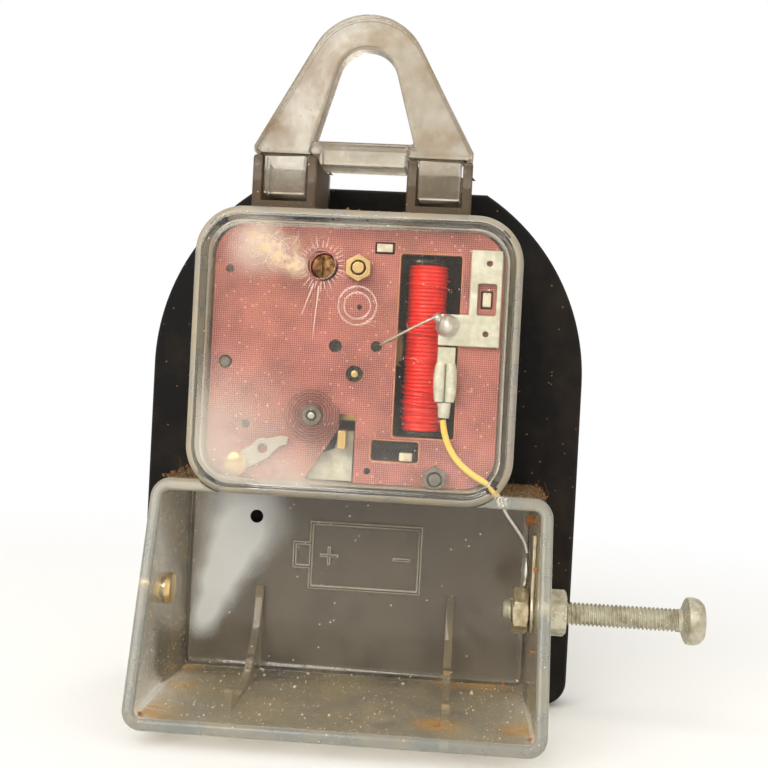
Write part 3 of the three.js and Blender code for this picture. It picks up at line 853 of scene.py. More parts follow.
STEEL = Finish(
    "steel", "steel", shown(196, 192, 184), shown(122, 112, 100), roughness=0.28, rough_worn=0.5,
    metallic=1.0, patch_scale=600, patch_amount=0.34, grain=0.1,
)
ZINC = Finish(
    "zinc_sheet", "zinc", shown(224, 228, 220), shown(196, 198, 186), roughness=0.36, rough_worn=0.55,
    metallic=0.2, patch_scale=420, patch_amount=0.5, grain=0.2,
)
# SHADED is painted shade: the front plate gets a dark brown colour instead of brass, so that it looks as it does
# in the shade inside the box.
SHADED = Finish(
    "plate_in_painted_shade", "brass", shown(66, 50, 44), shown(92, 74, 60), roughness=0.5, rough_worn=0.7,
    metallic=0.3, patch_scale=300, patch_amount=0.35, grain=0.15,
)
DULL = Finish(
    "dull_steel", "steel", shown(120, 116, 110), shown(86, 82, 76), roughness=0.45, rough_worn=0.65,
    metallic=0.5, patch_scale=600, patch_amount=0.4, grain=0.15,
)
OXIDE = Finish(
    "oxidised_zinc", "zinc", shown(192, 188, 168), shown(150, 142, 118), roughness=0.45, rough_worn=0.75,
    metallic=0.55, patch_scale=500, patch_amount=0.42, speck_amount=0.06, speck_scale=2500,
    speck_colour=shown(240, 236, 220), grain=0.35,
)
IRON = Finish(
    "dark_iron", "iron", shown(42, 38, 36), shown(84, 74, 66), roughness=0.42, rough_worn=0.65, metallic=0.4,
    patch_scale=400, patch_amount=0.3, grain=0.2,
)
LAMINATE = Woven(
    "fabric_laminate", "laminate", shown(128, 52, 54), shown(172, 90, 86), roughness=0.42, rough_worn=0.6,
    patch_scale=170, patch_amount=0.5, speck_amount=0.12, speck_scale=1500, speck_colour=shown(220, 158, 146),
    grain=0.7, thread=shown(234, 180, 170),
)
ENAMEL = Finish(
    "red_enamel_wire", "enamelled_copper", shown(246, 40, 22), shown(226, 26, 14), roughness=0.3,
    rough_worn=0.42, patch_scale=500, patch_amount=0.4, grain=0.05, coat=0.4,
)
NYLON = Finish(
    "white_nylon", "white_plastic", shown(226, 222, 206), shown(196, 186, 160), roughness=0.45,
    patch_scale=500, grain=0.1,
)
SOLDER = Finish(
    "solder", "solder", shown(246, 248, 244), shown(210, 210, 204), roughness=0.18, rough_worn=0.35,
    metallic=0.2, patch_scale=700, patch_amount=0.36, grain=0.25,
)
YELLOW = Finish(
    "yellow_sleeve", "yellow_sleeve", shown(255, 240, 128), shown(250, 228, 112), roughness=0.4,
    rough_worn=0.55, patch_scale=500, patch_amount=0.4, grain=0.08,
)
RED_DOT = Finish("red_mark", "enamelled_copper", shown(196, 48, 44), shown(170, 40, 38), roughness=0.5)
CRUMB = Finish(
    "dust_crumbs", "black_plate", shown(120, 84, 48), shown(70, 46, 26), roughness=0.95, patch_scale=800,
    grain=0.5,
)
PALE_CRUMB = Finish(
    "pale_dust", "clear_plastic", shown(214, 200, 170), shown(180, 156, 116), roughness=0.95, patch_scale=800,
    grain=0.5,
)

CRACK = DustFilm(
    "crazed_plastic", "clear_plastic", shown(246, 226, 214), shown(224, 192, 176), roughness=0.35,
    patch_scale=900, patch_amount=0.5, density=0.3, veil=0.32,
)
RIM_BLOOM = DustFilm(
    "rim_bloom", "clear_plastic", shown(204, 210, 206), shown(214, 202, 172), roughness=0.3, patch_scale=55,
    patch_amount=0.5, density=0.14, veil=0.3, speck_amount=0.02, speck_scale=1800,
)
WALL_BLOOM = DustFilm(
    "wall_bloom", "clear_plastic", shown(196, 190, 174), shown(190, 168, 124), roughness=0.6, patch_scale=100,
    patch_amount=0.5, density=0.18, veil=0.06, speck_amount=0.05, speck_scale=1700,
    speck_colour=shown(240, 232, 214),
)
COVER_BLOOM = DustFilm(
    "cover_bloom", "clear_plastic", shown(222, 218, 208), shown(206, 192, 166), roughness=0.4,
    patch_scale=160, patch_amount=0.5, density=0.2, veil=0.28, speck_amount=0.02, speck_scale=1800,
)
POST_STAIN = DustFilm(
    "post_stain", "clear_plastic", shown(88, 76, 58), shown(78, 56, 34), roughness=0.7, patch_scale=200,
    patch_amount=0.5, density=0.3, veil=0.68, speck_amount=0.1, speck_scale=1500,
    speck_colour=shown(206, 176, 134),
)
LOOP_BLOOM = DustFilm(
    "loop_bloom", "clear_plastic", shown(150, 142, 126), shown(128, 98, 64), roughness=0.45, patch_scale=110,
    patch_amount=0.42, density=0.3, veil=0.24, speck_amount=0.06, speck_scale=1700,
    speck_colour=shown(150, 108, 66),
)
MARK = DustFilm(
    "raised_marks", "clear_plastic", shown(226, 224, 214), shown(206, 198, 180), roughness=0.5,
    patch_scale=600, patch_amount=0.4, density=0.3, veil=0.55,
)
FAINT_MARK = DustFilm(
    "faint_marks", "clear_plastic", shown(244, 226, 220), shown(230, 200, 190), roughness=0.4,
    patch_scale=900, patch_amount=0.4, density=0.3, veil=0.3,
)
RAW_EDGE = Finish(
    "raw_laminate", "laminate", shown(206, 150, 118), shown(176, 112, 88), roughness=0.7, grain=0.3,
)
SPRING_STEEL = Finish(
    "spring_steel", "steel", shown(84, 66, 64), shown(56, 46, 44), roughness=0.35, metallic=0.4,
    patch_scale=500, grain=0.05,
)
# Painted shade: a dark film laid on the coil carrier's faces below the laminate plate, where shade falls.
PAINTED_SHADE = DustFilm(
    "painted_recess_shade", "black_plate", shown(56, 44, 42), shown(36, 28, 26), roughness=0.8, patch_scale=500,
    patch_amount=0.5, density=0.1, veil=0.9,
)
HAZE = DustFilm(
    "cover_haze", "clear_plastic", shown(238, 230, 216), shown(236, 228, 214), roughness=0.9, patch_scale=100,
    patch_amount=0.6, density=0.12, veil=0.26, speck_amount=0.03, speck_scale=2200,
    speck_colour=shown(240, 232, 214),
    spots=(((-22, -14, 27), 20.0), ((-8, -21, 27), 11.0), ((-17, 21, 27), 7.0)),
)
SMEAR = DustFilm(
    "glue_smear", "clear_plastic", shown(248, 238, 222), shown(238, 208, 160), roughness=0.8, patch_scale=500,
    patch_amount=0.5, density=0.55, veil=0.12,
    spots=(((-12.0, 20.0, 27), 4.4), ((-15.5, 22.4, 27), 4.2), ((-9.5, 18.0, 27), 3.0)),
)
FLOOR_DUST = DustFilm(
    "floor_dust", "clear_plastic", shown(132, 122, 108), shown(150, 140, 124), roughness=0.9, patch_scale=70,
    patch_amount=0.6, density=0.12, veil=0.34, speck_amount=0.03, speck_scale=1500,
    speck_colour=shown(222, 214, 196),
)
# GLARE is a painted reflection: a whitish film on the box floor that stands in for a window's shine on it.
GLARE = DustFilm(
    "painted_floor_reflection", "clear_plastic", shown(244, 246, 246), shown(222, 226, 230), roughness=0.5,
    patch_scale=60, patch_amount=0.5, density=0.16, veil=0.6,
    spots=(
        ((-21.0, -27.5, 2), 10.5), ((-22.5, -34.0, 2), 8.5), ((-25.0, -38.5, 2), 7.0), ((-26.8, -43, 2), 6.0),
        ((-28.4, -47.5, 2), 5.0),
    ),
)
BOTTOM_DUST = DustFilm(
    "bottom_dust", "clear_plastic", shown(160, 150, 130), shown(176, 160, 126), roughness=0.9,
    patch_scale=110, patch_amount=0.5, density=0.25, veil=0.22, speck_amount=0.16, speck_scale=1500,
    speck_colour=shown(246, 238, 220),
)
CORNER_STAIN = DustFilm(
    "corner_stain", "clear_plastic", shown(214, 182, 120), shown(186, 134, 66), roughness=0.85,
    patch_scale=300, patch_amount=0.5, density=0.7, veil=0.16,
    spots=(
        ((-31, -56.5, 34), 9.0), ((-29, -56.5, 18), 5.0), ((17.0, -56.5, 30), 6.0), ((32, -56.5, 30), 7.0),
        ((-31, -56.5, 5), 5.0), ((24, -56.5, 3), 8.0), ((19, -56.5, 4), 4.0),
    ),
)
RUST = Finish(
    "rust", "iron", shown(168, 108, 60), shown(110, 68, 38), roughness=0.9, patch_scale=900, grain=0.6,
)
LINT = Finish("lint", "clear_plastic", shown(240, 230, 214), shown(222, 204, 174), roughness=0.9, grain=0.1)
# Painted shade: a dark colour for discs that stand for the shade in the deep pivot holes.
PAINTED_HOLE_SHADE = Finish(
    "dark_painted_hole_shade", "iron", shown(34, 32, 28), shown(62, 60, 54), roughness=0.25, patch_scale=1500, grain=0.2,
)


def wear(piece: bpy.types.Object, finish: Finish) -> bpy.types.Object:
    """Gives a piece its material and its slot in the record."""
    piece.data.materials.clear()
    piece.data.materials.append(finish.material())
    return piece


def fit(piece: bpy.types.Object, finish: Finish, body: str, *nodes: str) -> bpy.types.Object:
    """Dresses a piece, lets it ride on a body and puts it in place of CAD nodes.

    Args:
        piece: the visible piece.
        finish: its finish.
        body: the body that it moves with.
        nodes: the CAD nodes that it stands for.

    Returns:
        The piece.
    """
    wear(piece, finish)
    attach(piece, body)
    if nodes:
        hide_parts(*nodes)
    return piece


# ---- clear mouldings ------------------------------------------------------------------------
def lofted(
    name: str, box: RoundedBox, profile: Sequence[tuple[float, Height]], steps: int = 10,
) -> bpy.types.Object:
    """A rounded box swept through (inset, height) pairs, closed by its first and last outline.

    Args:
        name: the object's name.
        box: the outline at inset 0.
        profile: the pairs; a height may be a function of z.
        steps: chords in each corner.

    Returns:
        The new object.
    """
    mesh = bmesh.new()
    rings = []
    for inset, height in profile:
        level = height if callable(height) else (lambda z, fixed=height: fixed)
        rings.append([mesh.verts.new(place(x, z, level(z))) for x, z in box.points(inset, steps)])
    skin(mesh, rings)
    return new_object(name, mesh)


def cylinder(
    name: str, centre: Pair, radius: float, low: float, high: float, steps: int = 40,
) -> bpy.types.Object:
    """A plain cylinder along the height, used to cut or to join."""
    return prism(name, circle(centre, radius, steps), low, high)


CELL_AXIS: Pair = (-39.0, 20.0)
COVER_OUTLINE = RoundedBox(-27.7, 27.5, -21.2, 27.4, 8.0)
LEAD_ROUTE: tuple[Triple, ...] = (
    (15.4, -6.95, 23.3), (15.9, -9.4, 23.4), (16.9, -11.8, 23.4), (18.6, -14.1, 23.4), (20.9, -15.9, 23.3),
    (23.2, -17.3, 23.1), (25.4, -19.6, 22.7), (27, -22.4, 21.9), (28.9, -25, 21), (30.4, -27.2, 20.3),
    (31, -29, 20),
)


def lead_hole() -> bpy.types.Object:
    """The space that the yellow lead takes in the mouldings."""
    line = smooth_line([place(*point) for point in LEAD_ROUTE])
    return swept("lead_hole", line, lambda t: LEAD_HOLE, 12)


@dataclass
class ClearCase:
    """The moulding that carries all: backing, battery box, cradle ribs and the two posts."""

    box: RoundedBox = RoundedBox(-33.3, 34.6, -58.7, -19.2, 3.2)
    backing: RoundedBox = COVER_OUTLINE
    wall: float = 2.0
    high_rim: float = 38.0
    low_rim: float = 25.5
    cell: Triple = (0.0, *CELL_AXIS)
    cell_radius: float = 17.3
    ribs: Pair = (-17.6, 18.4)
    post_x: float = -0.7
    post_half: float = 19.0
    post_width: float = 11.2
    post_top: float = 37.2
    bosses: tuple[Pair, ...] = ((-20, 20.5), (20, 20.5), (-20, -14), (20, -14))

    def rim(self, drop: float = 0.0) -> Callable[[float], float]:
        """The slanted rim's height as a function of z, lowered by drop."""
        def level(z: float) -> float:
            """Flat over the lowest 4 mm and slanted above."""
            share = (z - self.box.bottom - 4) / (self.box.top - self.box.bottom - 4)
            share = min(max(share, 0.0), 1.0)
            return self.high_rim - (self.high_rim - self.low_rim) * share - drop
        return level

    def tray(self) -> bpy.types.Object:
        """The battery box with rounded rims and floor corners."""
        w = self.wall
        profile = [
            (w + 1.6, w), (w + 0.7, w + 0.15), (w + 0.15, w + 0.7), (w, w + 1.6),
            (w, self.rim(0.7)), (w - 0.12, self.rim(0.3)), (w - 0.35, self.rim(0.08)), (w - 0.7, self.rim()),
            (0.7, self.rim()), (0.35, self.rim(0.08)), (0.12, self.rim(0.3)), (0.0, self.rim(0.7)),
            (0.0, 0.9), (0.12, 0.4), (0.4, 0.12), (0.9, 0.0),
        ]
        return lofted("clear_case_moulding", self.box, profile)

    def rib(self, x: float) -> bpy.types.Object:
        """One cradle rib with a round bite for the cell."""
        _, axis_z, axis_height = self.cell
        angles = [
            math.asin((30 - axis_height) / self.cell_radius), math.asin((3 - axis_height) / self.cell_radius),
        ]
        bite = [
            (axis_z - self.cell_radius * math.cos(a), axis_height + self.cell_radius * math.sin(a))
            for a in (angles[0] + (angles[1] - angles[0]) * i / 28 for i in range(29))
        ]
        side = [(self.box.bottom + 1, 1.0), (self.box.bottom + 1, 30.0), *bite, (-41.0, 2.9), (-41.0, 1.0)]
        mesh = bmesh.new()
        faces = [[mesh.verts.new(place(x + dx, z, h)) for z, h in side] for dx in (-0.7, 0.7)]
        mesh.faces.new(faces[0])
        mesh.faces.new(list(reversed(faces[1])))
        for i in range(len(side)):
            k = (i + 1) % len(side)
            mesh.faces.new((faces[0][i], faces[0][k], faces[1][k], faces[1][i]))
        return new_object("rib", mesh)

    def post(self, side: int) -> bpy.types.Object:
        """One hollow post, open towards the service side and at its top."""
        near = self.post_x + side * (self.post_half - self.post_width)
        far = self.post_x + side * self.post_half
        x = (min(near, far), max(near, far))
        body = slab("post", x, (27.7, self.post_top), (0.5, 20.0))
        soften(body, 0.5, 3)
        hollow = slab("hollow", (x[0] + 1.6, x[1] - 1.6), (29.3, self.post_top + 1), (4.0, 21.0))
        foot = slab("foot", x, (19.4, self.post_top), (0.0, 2.0))
        return combine(combine(body, Cut.AWAY, hollow), Cut.JOIN, foot)

    def pictogram(self) -> list[bpy.types.Object]:
        """The raised outline of a cell on the box floor, with its plus and minus."""
        frame_bars = [
            ((-8.6, 12.5), (-41.0, -40.4)), ((-8.6, 12.5), (-28.9, -28.3)), ((11.9, 12.5), (-41.0, -28.3)),
            ((-8.6, -8.0), (-41.0, -28.3)), ((-11.7, -8.3), (-37.2, -36.6)), ((-11.7, -8.3), (-32.8, -32.2)),
            ((-11.7, -11.1), (-37.2, -32.2)), ((-6.6, -3.2), (-34.9, -34.4)),
            ((-5.15, -4.65), (-36.35, -32.95)),
            ((7.2, 10.4), (-34.9, -34.4)),
        ]
        return [slab("bar", x, z, (1.5, 2.35)) for x, z in frame_bars]

    def build(self) -> None:
        """Makes the moulding as one body with softened edges."""
        body = self.tray()
        cover_space = lofted("space", RoundedBox(-28.0, 27.8, -21.5, 27.7, 8.3), [(0, 2.0), (0, 60.0)])
        combine(body, Cut.AWAY, cover_space)
        back = lofted(
            "backing", self.backing,
            [(0.5, 2.0), (0.1, 1.85), (0.0, 1.5), (0.0, 0.5), (0.1, 0.15), (0.5, 0.0)],
        )
        joined = [back, *(self.rib(x) for x in self.ribs), self.post(-1), self.post(1), *self.pictogram()]
        joined += [cylinder("boss", centre, 2.2, 1.0, 6.2, 24) for centre in self.bosses]
        combine(body, Cut.JOIN, *joined)
        holes = [
            cylinder("bush_hole", (0, 0), 3.9, -1, 4),
            cylinder("floor_hole", (-19, -28), 1.2, -1, 4, 24),
            turned(
                "screw_hole", [(0, 30), (2.3, 30), (2.3, 37), (0, 37)], Axis.ACROSS, (0, *self.cell[1:]), 32,
            ),
            turned(
                "rivet_hole", [(0, -36), (1.6, -36), (1.6, -30), (0, -30)], Axis.ACROSS, (0, *self.cell[1:]),
                24,
            ),
            lead_hole(),
        ]
        combine(body, Cut.AWAY, *holes)
        soften(body, 0.16, 2, 50)
        fit(shade(body), CLEAR, "case", "clear_case")
        rim = self.rim(1.3)
        coat(body, "box_rim_bloom", RIM_BLOOM, lambda x, z, h: z < -19 and h > rim(z))
        coat(body, "box_side_bloom", WALL_BLOOM, lambda x, z, h: z < -19 and 2.3 < h <= rim(z))
        coat(body, "post_stain", POST_STAIN, lambda x, z, h: z > 27.6 and h > 1.9)
        coat(
            body, "pictogram_edges", MARK,
            lambda x, z, h: -42 < z < -28 and -12.5 < x < 13 and 2.05 < h < 2.5,
        )
        LOG.info("clear case: %d faces", len(body.data.polygons))


@dataclass
class MovementCover:
    """The clear cap over the movement, with its access hole, ring and crack rays."""

    box: RoundedBox = COVER_OUTLINE
    wall: float = 2.0
    low: float = 2.3
    face: float = 27.0
    soft: float = 1.6
    hole: float = 2.3
    ring: Pair = (0.28, 11.4)
    ring_radii: Pair = (3.3, 2.3)
    ring_width: float = 0.2
    rays: int = 28

    def build(self) -> None:
        """Makes the cap, then its ring and its fine marks."""
        w, face = self.wall, self.face
        outer = [
            (self.soft * (1 - math.cos(a)), face - self.soft * (1 - math.sin(a)))
            for a in (math.radians(15 * i) for i in range(7))
        ]
        profile = [
            (w + 1.2, face - w), (w + 0.45, face - w - 0.12), (w + 0.12, face - w - 0.45),
            (w, face - w - 1.2),
            (w, self.low + 0.3), (w - 0.3, self.low), (0.3, self.low), (0.0, self.low + 0.3), *outer,
        ]
        body = lofted("movement_cover_moulding", self.box, profile, 14)
        spot = about("regulator_turn")
        for radius in self.ring_radii:
            inner = radius - self.ring_width
            profile = [(radius, -0.5), (radius, 0.12), (inner, 0.12), (inner, -0.5), (radius, -0.5)]
            combine(body, Cut.JOIN, turned("ring", profile, Axis.HEIGHT, (*self.ring, face), 64))
        combine(body, Cut.AWAY, cylinder("access", spot, self.hole, 20, 30, 48), lead_hole())
        soften(body, 0.14, 2, 50)
        fit(shade(body), CLEAR, "case", "movement_cover")
        coat(
            body, "cover_side_bloom", COVER_BLOOM,
            lambda x, z, h: h < self.face - 0.06 and self.at_wall(x, z),
        )
        coat(body, "cover_ring_bloom", FAINT_MARK, lambda x, z, h: h > self.face + 0.08)
        self.marks(spot)
        LOG.info("movement cover: %d faces", len(body.data.polygons))

    def at_wall(self, x: float, z: float) -> bool:
        """Whether a point is in one of the four side walls."""
        box, near = self.box, self.wall + 0.6
        return min(x - box.left, box.right - x, z - box.bottom, box.top - z) < near

    def marks(self, spot: Pair) -> None:
        """Fine raised rays and cracks round the access hole."""
        rng = random.Random(SEED)
        lines = []
        for i in range(self.rays):
            angle = 2 * math.pi * (i + rng.uniform(-0.2, 0.2)) / self.rays
            lines.append((angle, 2.9, rng.uniform(3.8, 5.0), 0.18))
        lines += [(math.radians(-109), 3.4, 8.9, 0.26), (math.radians(-94), 3.6, 12.5, 0.24)]
        parts = []
        for angle, near, far, width in lines:
            along = Vector((math.cos(angle), math.sin(angle)))
            side = Vector((-along.y, along.x)) * width / 2
            start, end = Vector(spot) + along * near, Vector(spot) + along * far
            outline = [
                tuple(start + side), tuple(end + side * 0.4), tuple(end - side * 0.4), tuple(start - side),
            ]
            parts.append(prism("ray", outline, self.face - 0.02, self.face + 0.05))
        rays = join_all("cover_rays", parts)
        fit(rays, CRACK, "case")


def join_all(name: str, parts: Sequence[bpy.types.Object]) -> bpy.types.Object:
    """Joins objects into one object with their meshes side by side.

    Args:
        name: the joined object's name.
        parts: the objects, all at the frame's origin.

    Returns:
        The joined object.
    """
    mesh = bmesh.new()
    for part in parts:
        mesh.from_mesh(part.data)
        discard(part)
    return poured(name, mesh)


def coat(
    body: bpy.types.Object, name: str, finish: Finish, test: Test, lift: float = 0.04
) -> bpy.types.Object:
    """Lays a film over some of a body's faces.

    Args:
        body: the piece below the film.
        name: the film's name.
        finish: the film's finish.
        test: takes a face's middle as x, z and height, and says whether it is covered.
        lift: distance between the film and the face, in millimetres.

    Returns:
        The film.
    """
    mesh = bmesh.new()
    mesh.from_mesh(body.data)
    mesh.normal_update()

    def covered(face: bmesh.types.BMFace) -> bool:
        """Whether the test passes at the face's middle."""
        middle = (face.calc_center_median() - place(0, 0, 0)) / MM
        return test(middle.x, middle.z, -middle.y)

    bmesh.ops.delete(mesh, geom=[face for face in mesh.faces if not covered(face)], context="FACES")
    for vertex in mesh.verts:
        vertex.co += vertex.normal * lift * MM
    return fit(poured(name, mesh), finish, "case")


@dataclass
class HangingLoop:
    """The round-topped loop with its crossbar and two tongues."""

    x: float = -0.7
    base: float = 37.5
    shoulder: float = 38.8
    half: float = 19.0
    top: float = 62.0
    radius: float = 10.4
    open_half: float = 8.7
    open_base: float = 39.9
    open_top: float = 56.5
    open_radius: float = 5.2
    near: float = 20.0
    far: float = 14.5

    def tent(
        self, half: float, base: float, shoulder: float, top: float, radius: float, steps: int,
    ) -> list[Pair]:
        """A tent with a round top, as points."""
        centre = (self.x, top - radius)
        away = Vector((half, shoulder - centre[1]))
        turn = math.degrees(math.atan2(away.y, away.x) + math.acos(radius / away.length))
        low = [(self.x - half, base), (self.x + half, base)]
        if shoulder - base > 0.5:
            low.append((self.x + half, shoulder))
        points = low + arc(centre, radius, turn, 180 - turn, steps)
        if shoulder - base > 0.5:
            points.append((self.x - half, shoulder))
        return points

    def build(self) -> None:
        """Makes the loop as one body."""
        body = prism(
            "hanging_loop_moulding",
            self.tent(self.half, self.base, self.shoulder, self.top, self.radius, 40),
            self.far, self.near,
        )
        opening = prism(
            "opening", self.tent(self.open_half, self.open_base, self.open_base + 0.3, self.open_top,
                                 self.open_radius, 32), 10, 22,
        )
        combine(body, Cut.AWAY, opening)
        bar = slab("bar", (self.x - 7.5, self.x + 7.5), (35.75, 39.9), (11.5, 20.0))
        tongues = [
            slab("tongue", (min(a, b), max(a, b)), (30.5, 38.5), (14.5, 19.8))
            for a, b in ((self.x + 9.7, self.x + 17.1), (self.x - 9.7, self.x - 17.1))
        ]
        combine(body, Cut.JOIN, bar, *tongues)
        soften(body, 0.55, 4, 40)
        fit(shade(body), AGED_CLEAR, "case", "hanging_loop")
        coat(body, "loop_bloom", LOOP_BLOOM, lambda x, z, h: z > 38.6 or h > 19.5)
        LOG.info("hanging loop: %d faces", len(body.data.polygons))


# ---- plates ---------------------------------------------------------------------------------
@dataclass
class DialSide:
    """The black arched plate, the printed dial and the hands."""

    radius: float = 41.0
    top: float = 35.0
    bottom: float = -61.0
    corner: float = 4.5
    rear: float = -0.3
    web: float = -2.0
    lip: float = -9.0
    wall: float = 1.6
    numeral: float = 25.5
    ticks: float = 32.0

    def arch(self, inset: float) -> list[Pair]:
        """The plate's outline, drawn in by inset."""
        r, c = self.radius - inset, max(self.corner - inset, 0.5)
        low = self.bottom + inset
        shoulder = math.degrees(math.asin((self.top - inset) / r))
        return (
            arc((0, 0), r, 0, shoulder, 28)
            + arc((0, 0), r, 180 - shoulder, 180, 28)
            + arc((-r + c, low + c), c, 180, 270, 10)
            + arc((r - c, low + c), c, 270, 360, 10)
        )

    def plate(self) -> bpy.types.Object:
        """The plate with its rolled rim, open towards the dial side."""
        steps = [
            (self.wall + 0.6, self.web), (self.wall + 0.15, self.web - 0.2), (self.wall, self.web - 0.7),
            (self.wall, self.lip + 0.3), (self.wall - 0.3, self.lip), (0.4, self.lip), (0.0, self.lip + 0.4),
            (0.0, self.rear - 1.2), (0.15, self.rear - 0.6), (0.5, self.rear - 0.15), (1.1, self.rear),
        ]
        mesh = bmesh.new()
        rings = [[mesh.verts.new(place(x, z, h)) for x, z in self.arch(inset)] for inset, h in steps]
        skin(mesh, rings)
        return new_object("arched_plate_pressing", mesh)

    def build(self) -> None:
        """Makes the plate, the dial and the printing."""
        plate = combine(self.plate(), Cut.AWAY, cylinder("bush", (0, 0), 3.9, -5, 2))
        fit(shade(plate), BLACK, "case", "arched_plate")
        dial = soften(copy_of("dial", "printed_dial"), 0.1, 2)
        fit(shade(dial), DIAL_CARD, "case", "dial")
        face = (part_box("dial")[1].y - CASE_BACK) / -MM
        self.printing(face)
        for node in ("hour_hand", "minute_hand"):
            hand = soften(copy_of(node, node + "_blade"), 0.08, 2)
            fit(shade(hand), DIAL_INK, NODE_BODY[node], node)
        LOG.info("dial side done")

    def printing(self, face: float) -> None:
        """Numerals 1 to 12 and minute ticks on the dial's face."""
        ticks = []
        for i in range(60):
            a = math.radians(6 * i)
            long, width = (3.2, 0.5) if i % 5 == 0 else (1.7, 0.22)
            along, side = Vector((math.sin(a), math.cos(a))), Vector((math.cos(a), -math.sin(a))) * width
            near, far = along * (self.ticks - long), along * self.ticks
            outline = [tuple(near + side), tuple(far + side), tuple(far - side), tuple(near - side)]
            ticks.append(prism("tick", outline, face - 0.05, face + 0.03))
        fit(join_all("minute_ticks", ticks), DIAL_INK, "case")
        signs = []
        for hour in range(1, 13):
            curve = bpy.data.curves.new(f"numeral_{hour}", "FONT")
            curve.body, curve.size, curve.extrude = str(hour), 6.6 * MM, 0.025 * MM
            curve.align_x, curve.align_y = "CENTER", "CENTER"
            made = linked(f"numeral_{hour}", curve)
            a = math.radians(30 * hour)
            spot = place(-self.numeral * math.sin(a), self.numeral * math.cos(a), face - 0.02)
            turn = Matrix.Rotation(math.pi, 4, "Z") @ Matrix.Rotation(math.radians(90), 4, "X")
            made.matrix_world = Matrix.Translation(spot) @ turn
            bpy.context.view_layer.update()
            data = bpy.data.meshes.new_from_object(made.evaluated_get(bpy.context.evaluated_depsgraph_get()))
            data.transform(made.matrix_world)
            signs.append(linked(f"sign_{hour}", data))
            bpy.data.objects.remove(made)
        fit(join_all("dial_numerals", signs), DIAL_INK, "case")


@dataclass
class RearPlate:
    """The fabric laminate plate with its window, slot, notch and holes."""

    box: RoundedBox = RoundedBox(-24.9, 24.7, -18.9, 24.9, 6.0)
    low: float = 20.5
    high: float = 22.0
    window: RoundedBox = RoundedBox(6.9, 17.4, -10.4, 20.9, 0.5)
    slot: RoundedBox = RoundedBox(3.4, 11.6, -14.65, -11.0, 0.5)

    def build(self) -> None:
        """Makes the plate with its holes, paler cut edges and a red paint dot."""
        plate = lofted(
            "laminate_plate", self.box,
            [(0.12, self.low), (0.0, self.low + 0.12), (0.0, self.high - 0.15), (0.15, self.high)], 12,
        )
        openings = [
            prism("window", self.window.points(0, 5), 19, 24),
            prism("slot", self.slot.points(0, 5), 19, 24),
            prism(
                "notch", [(-8.8, -20), (0.6, -20), (0.6, -7), (-2.2, -7), (-2.25, -9.5), (-4.3, -12.85)], 19,
                24,
            ),
            slab("tab_a", (2.5, 5.8), (20.6, 22.6), (19, 24)),
            slab("tab_b", (20.8, 22.8), (12.1, 15.1), (19, 24)),
        ]
        holes = [
            ((0, 0), 1.45), (about("second_wheel_turn"), 1.1), (about("third_wheel_turn"), 0.95),
            (about("balance_swing"), 1.1), (about("regulator_turn"), 2.35),
            (about("regulator_lever_turn"), 1.1),
            ((-0.09, 17.95), 1.3), ((14.57, -17), 1.3), ((-22.3, 1.05), 1.15),
            ((-18.3, -9.5), 0.75), ((2.95, -16.45), 0.6), ((-22.25, 16.95), 0.7),
        ]
        openings += [cylinder("hole", centre, radius, 19, 24, 32) for centre, radius in holes]
        combine(plate, Cut.AWAY, *openings)
        soften(plate, 0.1, 2, 50)
        fit(shade(plate), LAMINATE, "case", "pertinax_plate")
        self.pale_edges()
        dot = turned(
            "red_paint_dot", [(0, 0.08), (0.35, 0.06), (0.5, 0.0)], Axis.HEIGHT, (-22.6, -10.45, 22), 24,
        )
        fit(shade(dot), RED_DOT, "case")
        LOG.info("laminate plate: %d faces", len(plate.data.polygons))

    def pale_edges(self) -> None:
        """Thin raw edges of the punched window and slot."""
        parts = []
        for box in (self.window, self.slot):
            outer, inner = box.points(-0.14, 5), box.points(0.04, 5)
            mesh = bmesh.new()
            rows = [
                [mesh.verts.new(place(x, z, h)) for x, z in ring]
                for ring, h in ((outer, self.high + 0.012), (inner, self.high + 0.012), (inner, self.low))
            ]
            skin(mesh, rows, ends=False)
            parts.append(new_object("edge", mesh))
        fit(join_all("laminate_cut_edges", parts), RAW_EDGE, "case")


# ---- coil and terminals ---------------------------------------------------------------------
@dataclass
class Coil:
    """The winding of red enamelled wire on the bobbin."""

    x: float = 11.65
    height: float = 17.3
    low: float = -9.3
    high: float = 19.4
    radius: float = 3.5
    wire: float = 0.34

    def uneven(self, turn: float) -> float:
        """How much a turn swells out or sinks in, in millimetres, by its number."""
        return noise.noise(Vector((0, 0, turn * 0.18))) * 0.22

    def build(self) -> None:
        """Winds the wire in slightly uneven turns, over a core drum."""
        rng = random.Random(SEED)
        turns = int((self.high - self.low) / (2 * self.wire))
        profile = [(0.0, self.low)]
        for i in range(turns):
            base = self.low + 2 * self.wire * i
            swell = self.radius - self.wire + self.uneven(i) + rng.uniform(-0.05, 0.05)
            for k in range(5):
                a = math.pi * (k / 4)
                profile.append((swell + self.wire * math.sin(a) * 0.9, base + self.wire * (1 - math.cos(a))))
        profile.append((0.0, profile[-1][1]))
        winding = turned("coil_wire", profile, Axis.UP, (self.x, 0, self.height), 56)
        fit(shade(winding, 70), ENAMEL, "case", "coil_winding")
        self.stray_turns()
        LOG.info("coil: %d turns", turns)

    def stray_turns(self) -> None:
        """A few crossed outer turns."""
        rng = random.Random(SEED + 1)
        strands = []
        for i in range(9):
            start = rng.uniform(self.low + 1, self.high - 4)
            rise = rng.uniform(1.2, 2.6)
            line = []
            for k in range(49):
                a = 2 * math.pi * k / 48
                z = start + rise * k / 48
                radius = self.radius + 0.12 + self.uneven((z - self.low) / (2 * self.wire))
                line.append(place(self.x + radius * math.cos(a), z, self.height + radius * math.sin(a)))
            strands.append(swept("strand", line, lambda t: self.wire * 0.5, 6))
        fit(shade(join_all("coil_outer_turns", strands)), ENAMEL, "case")


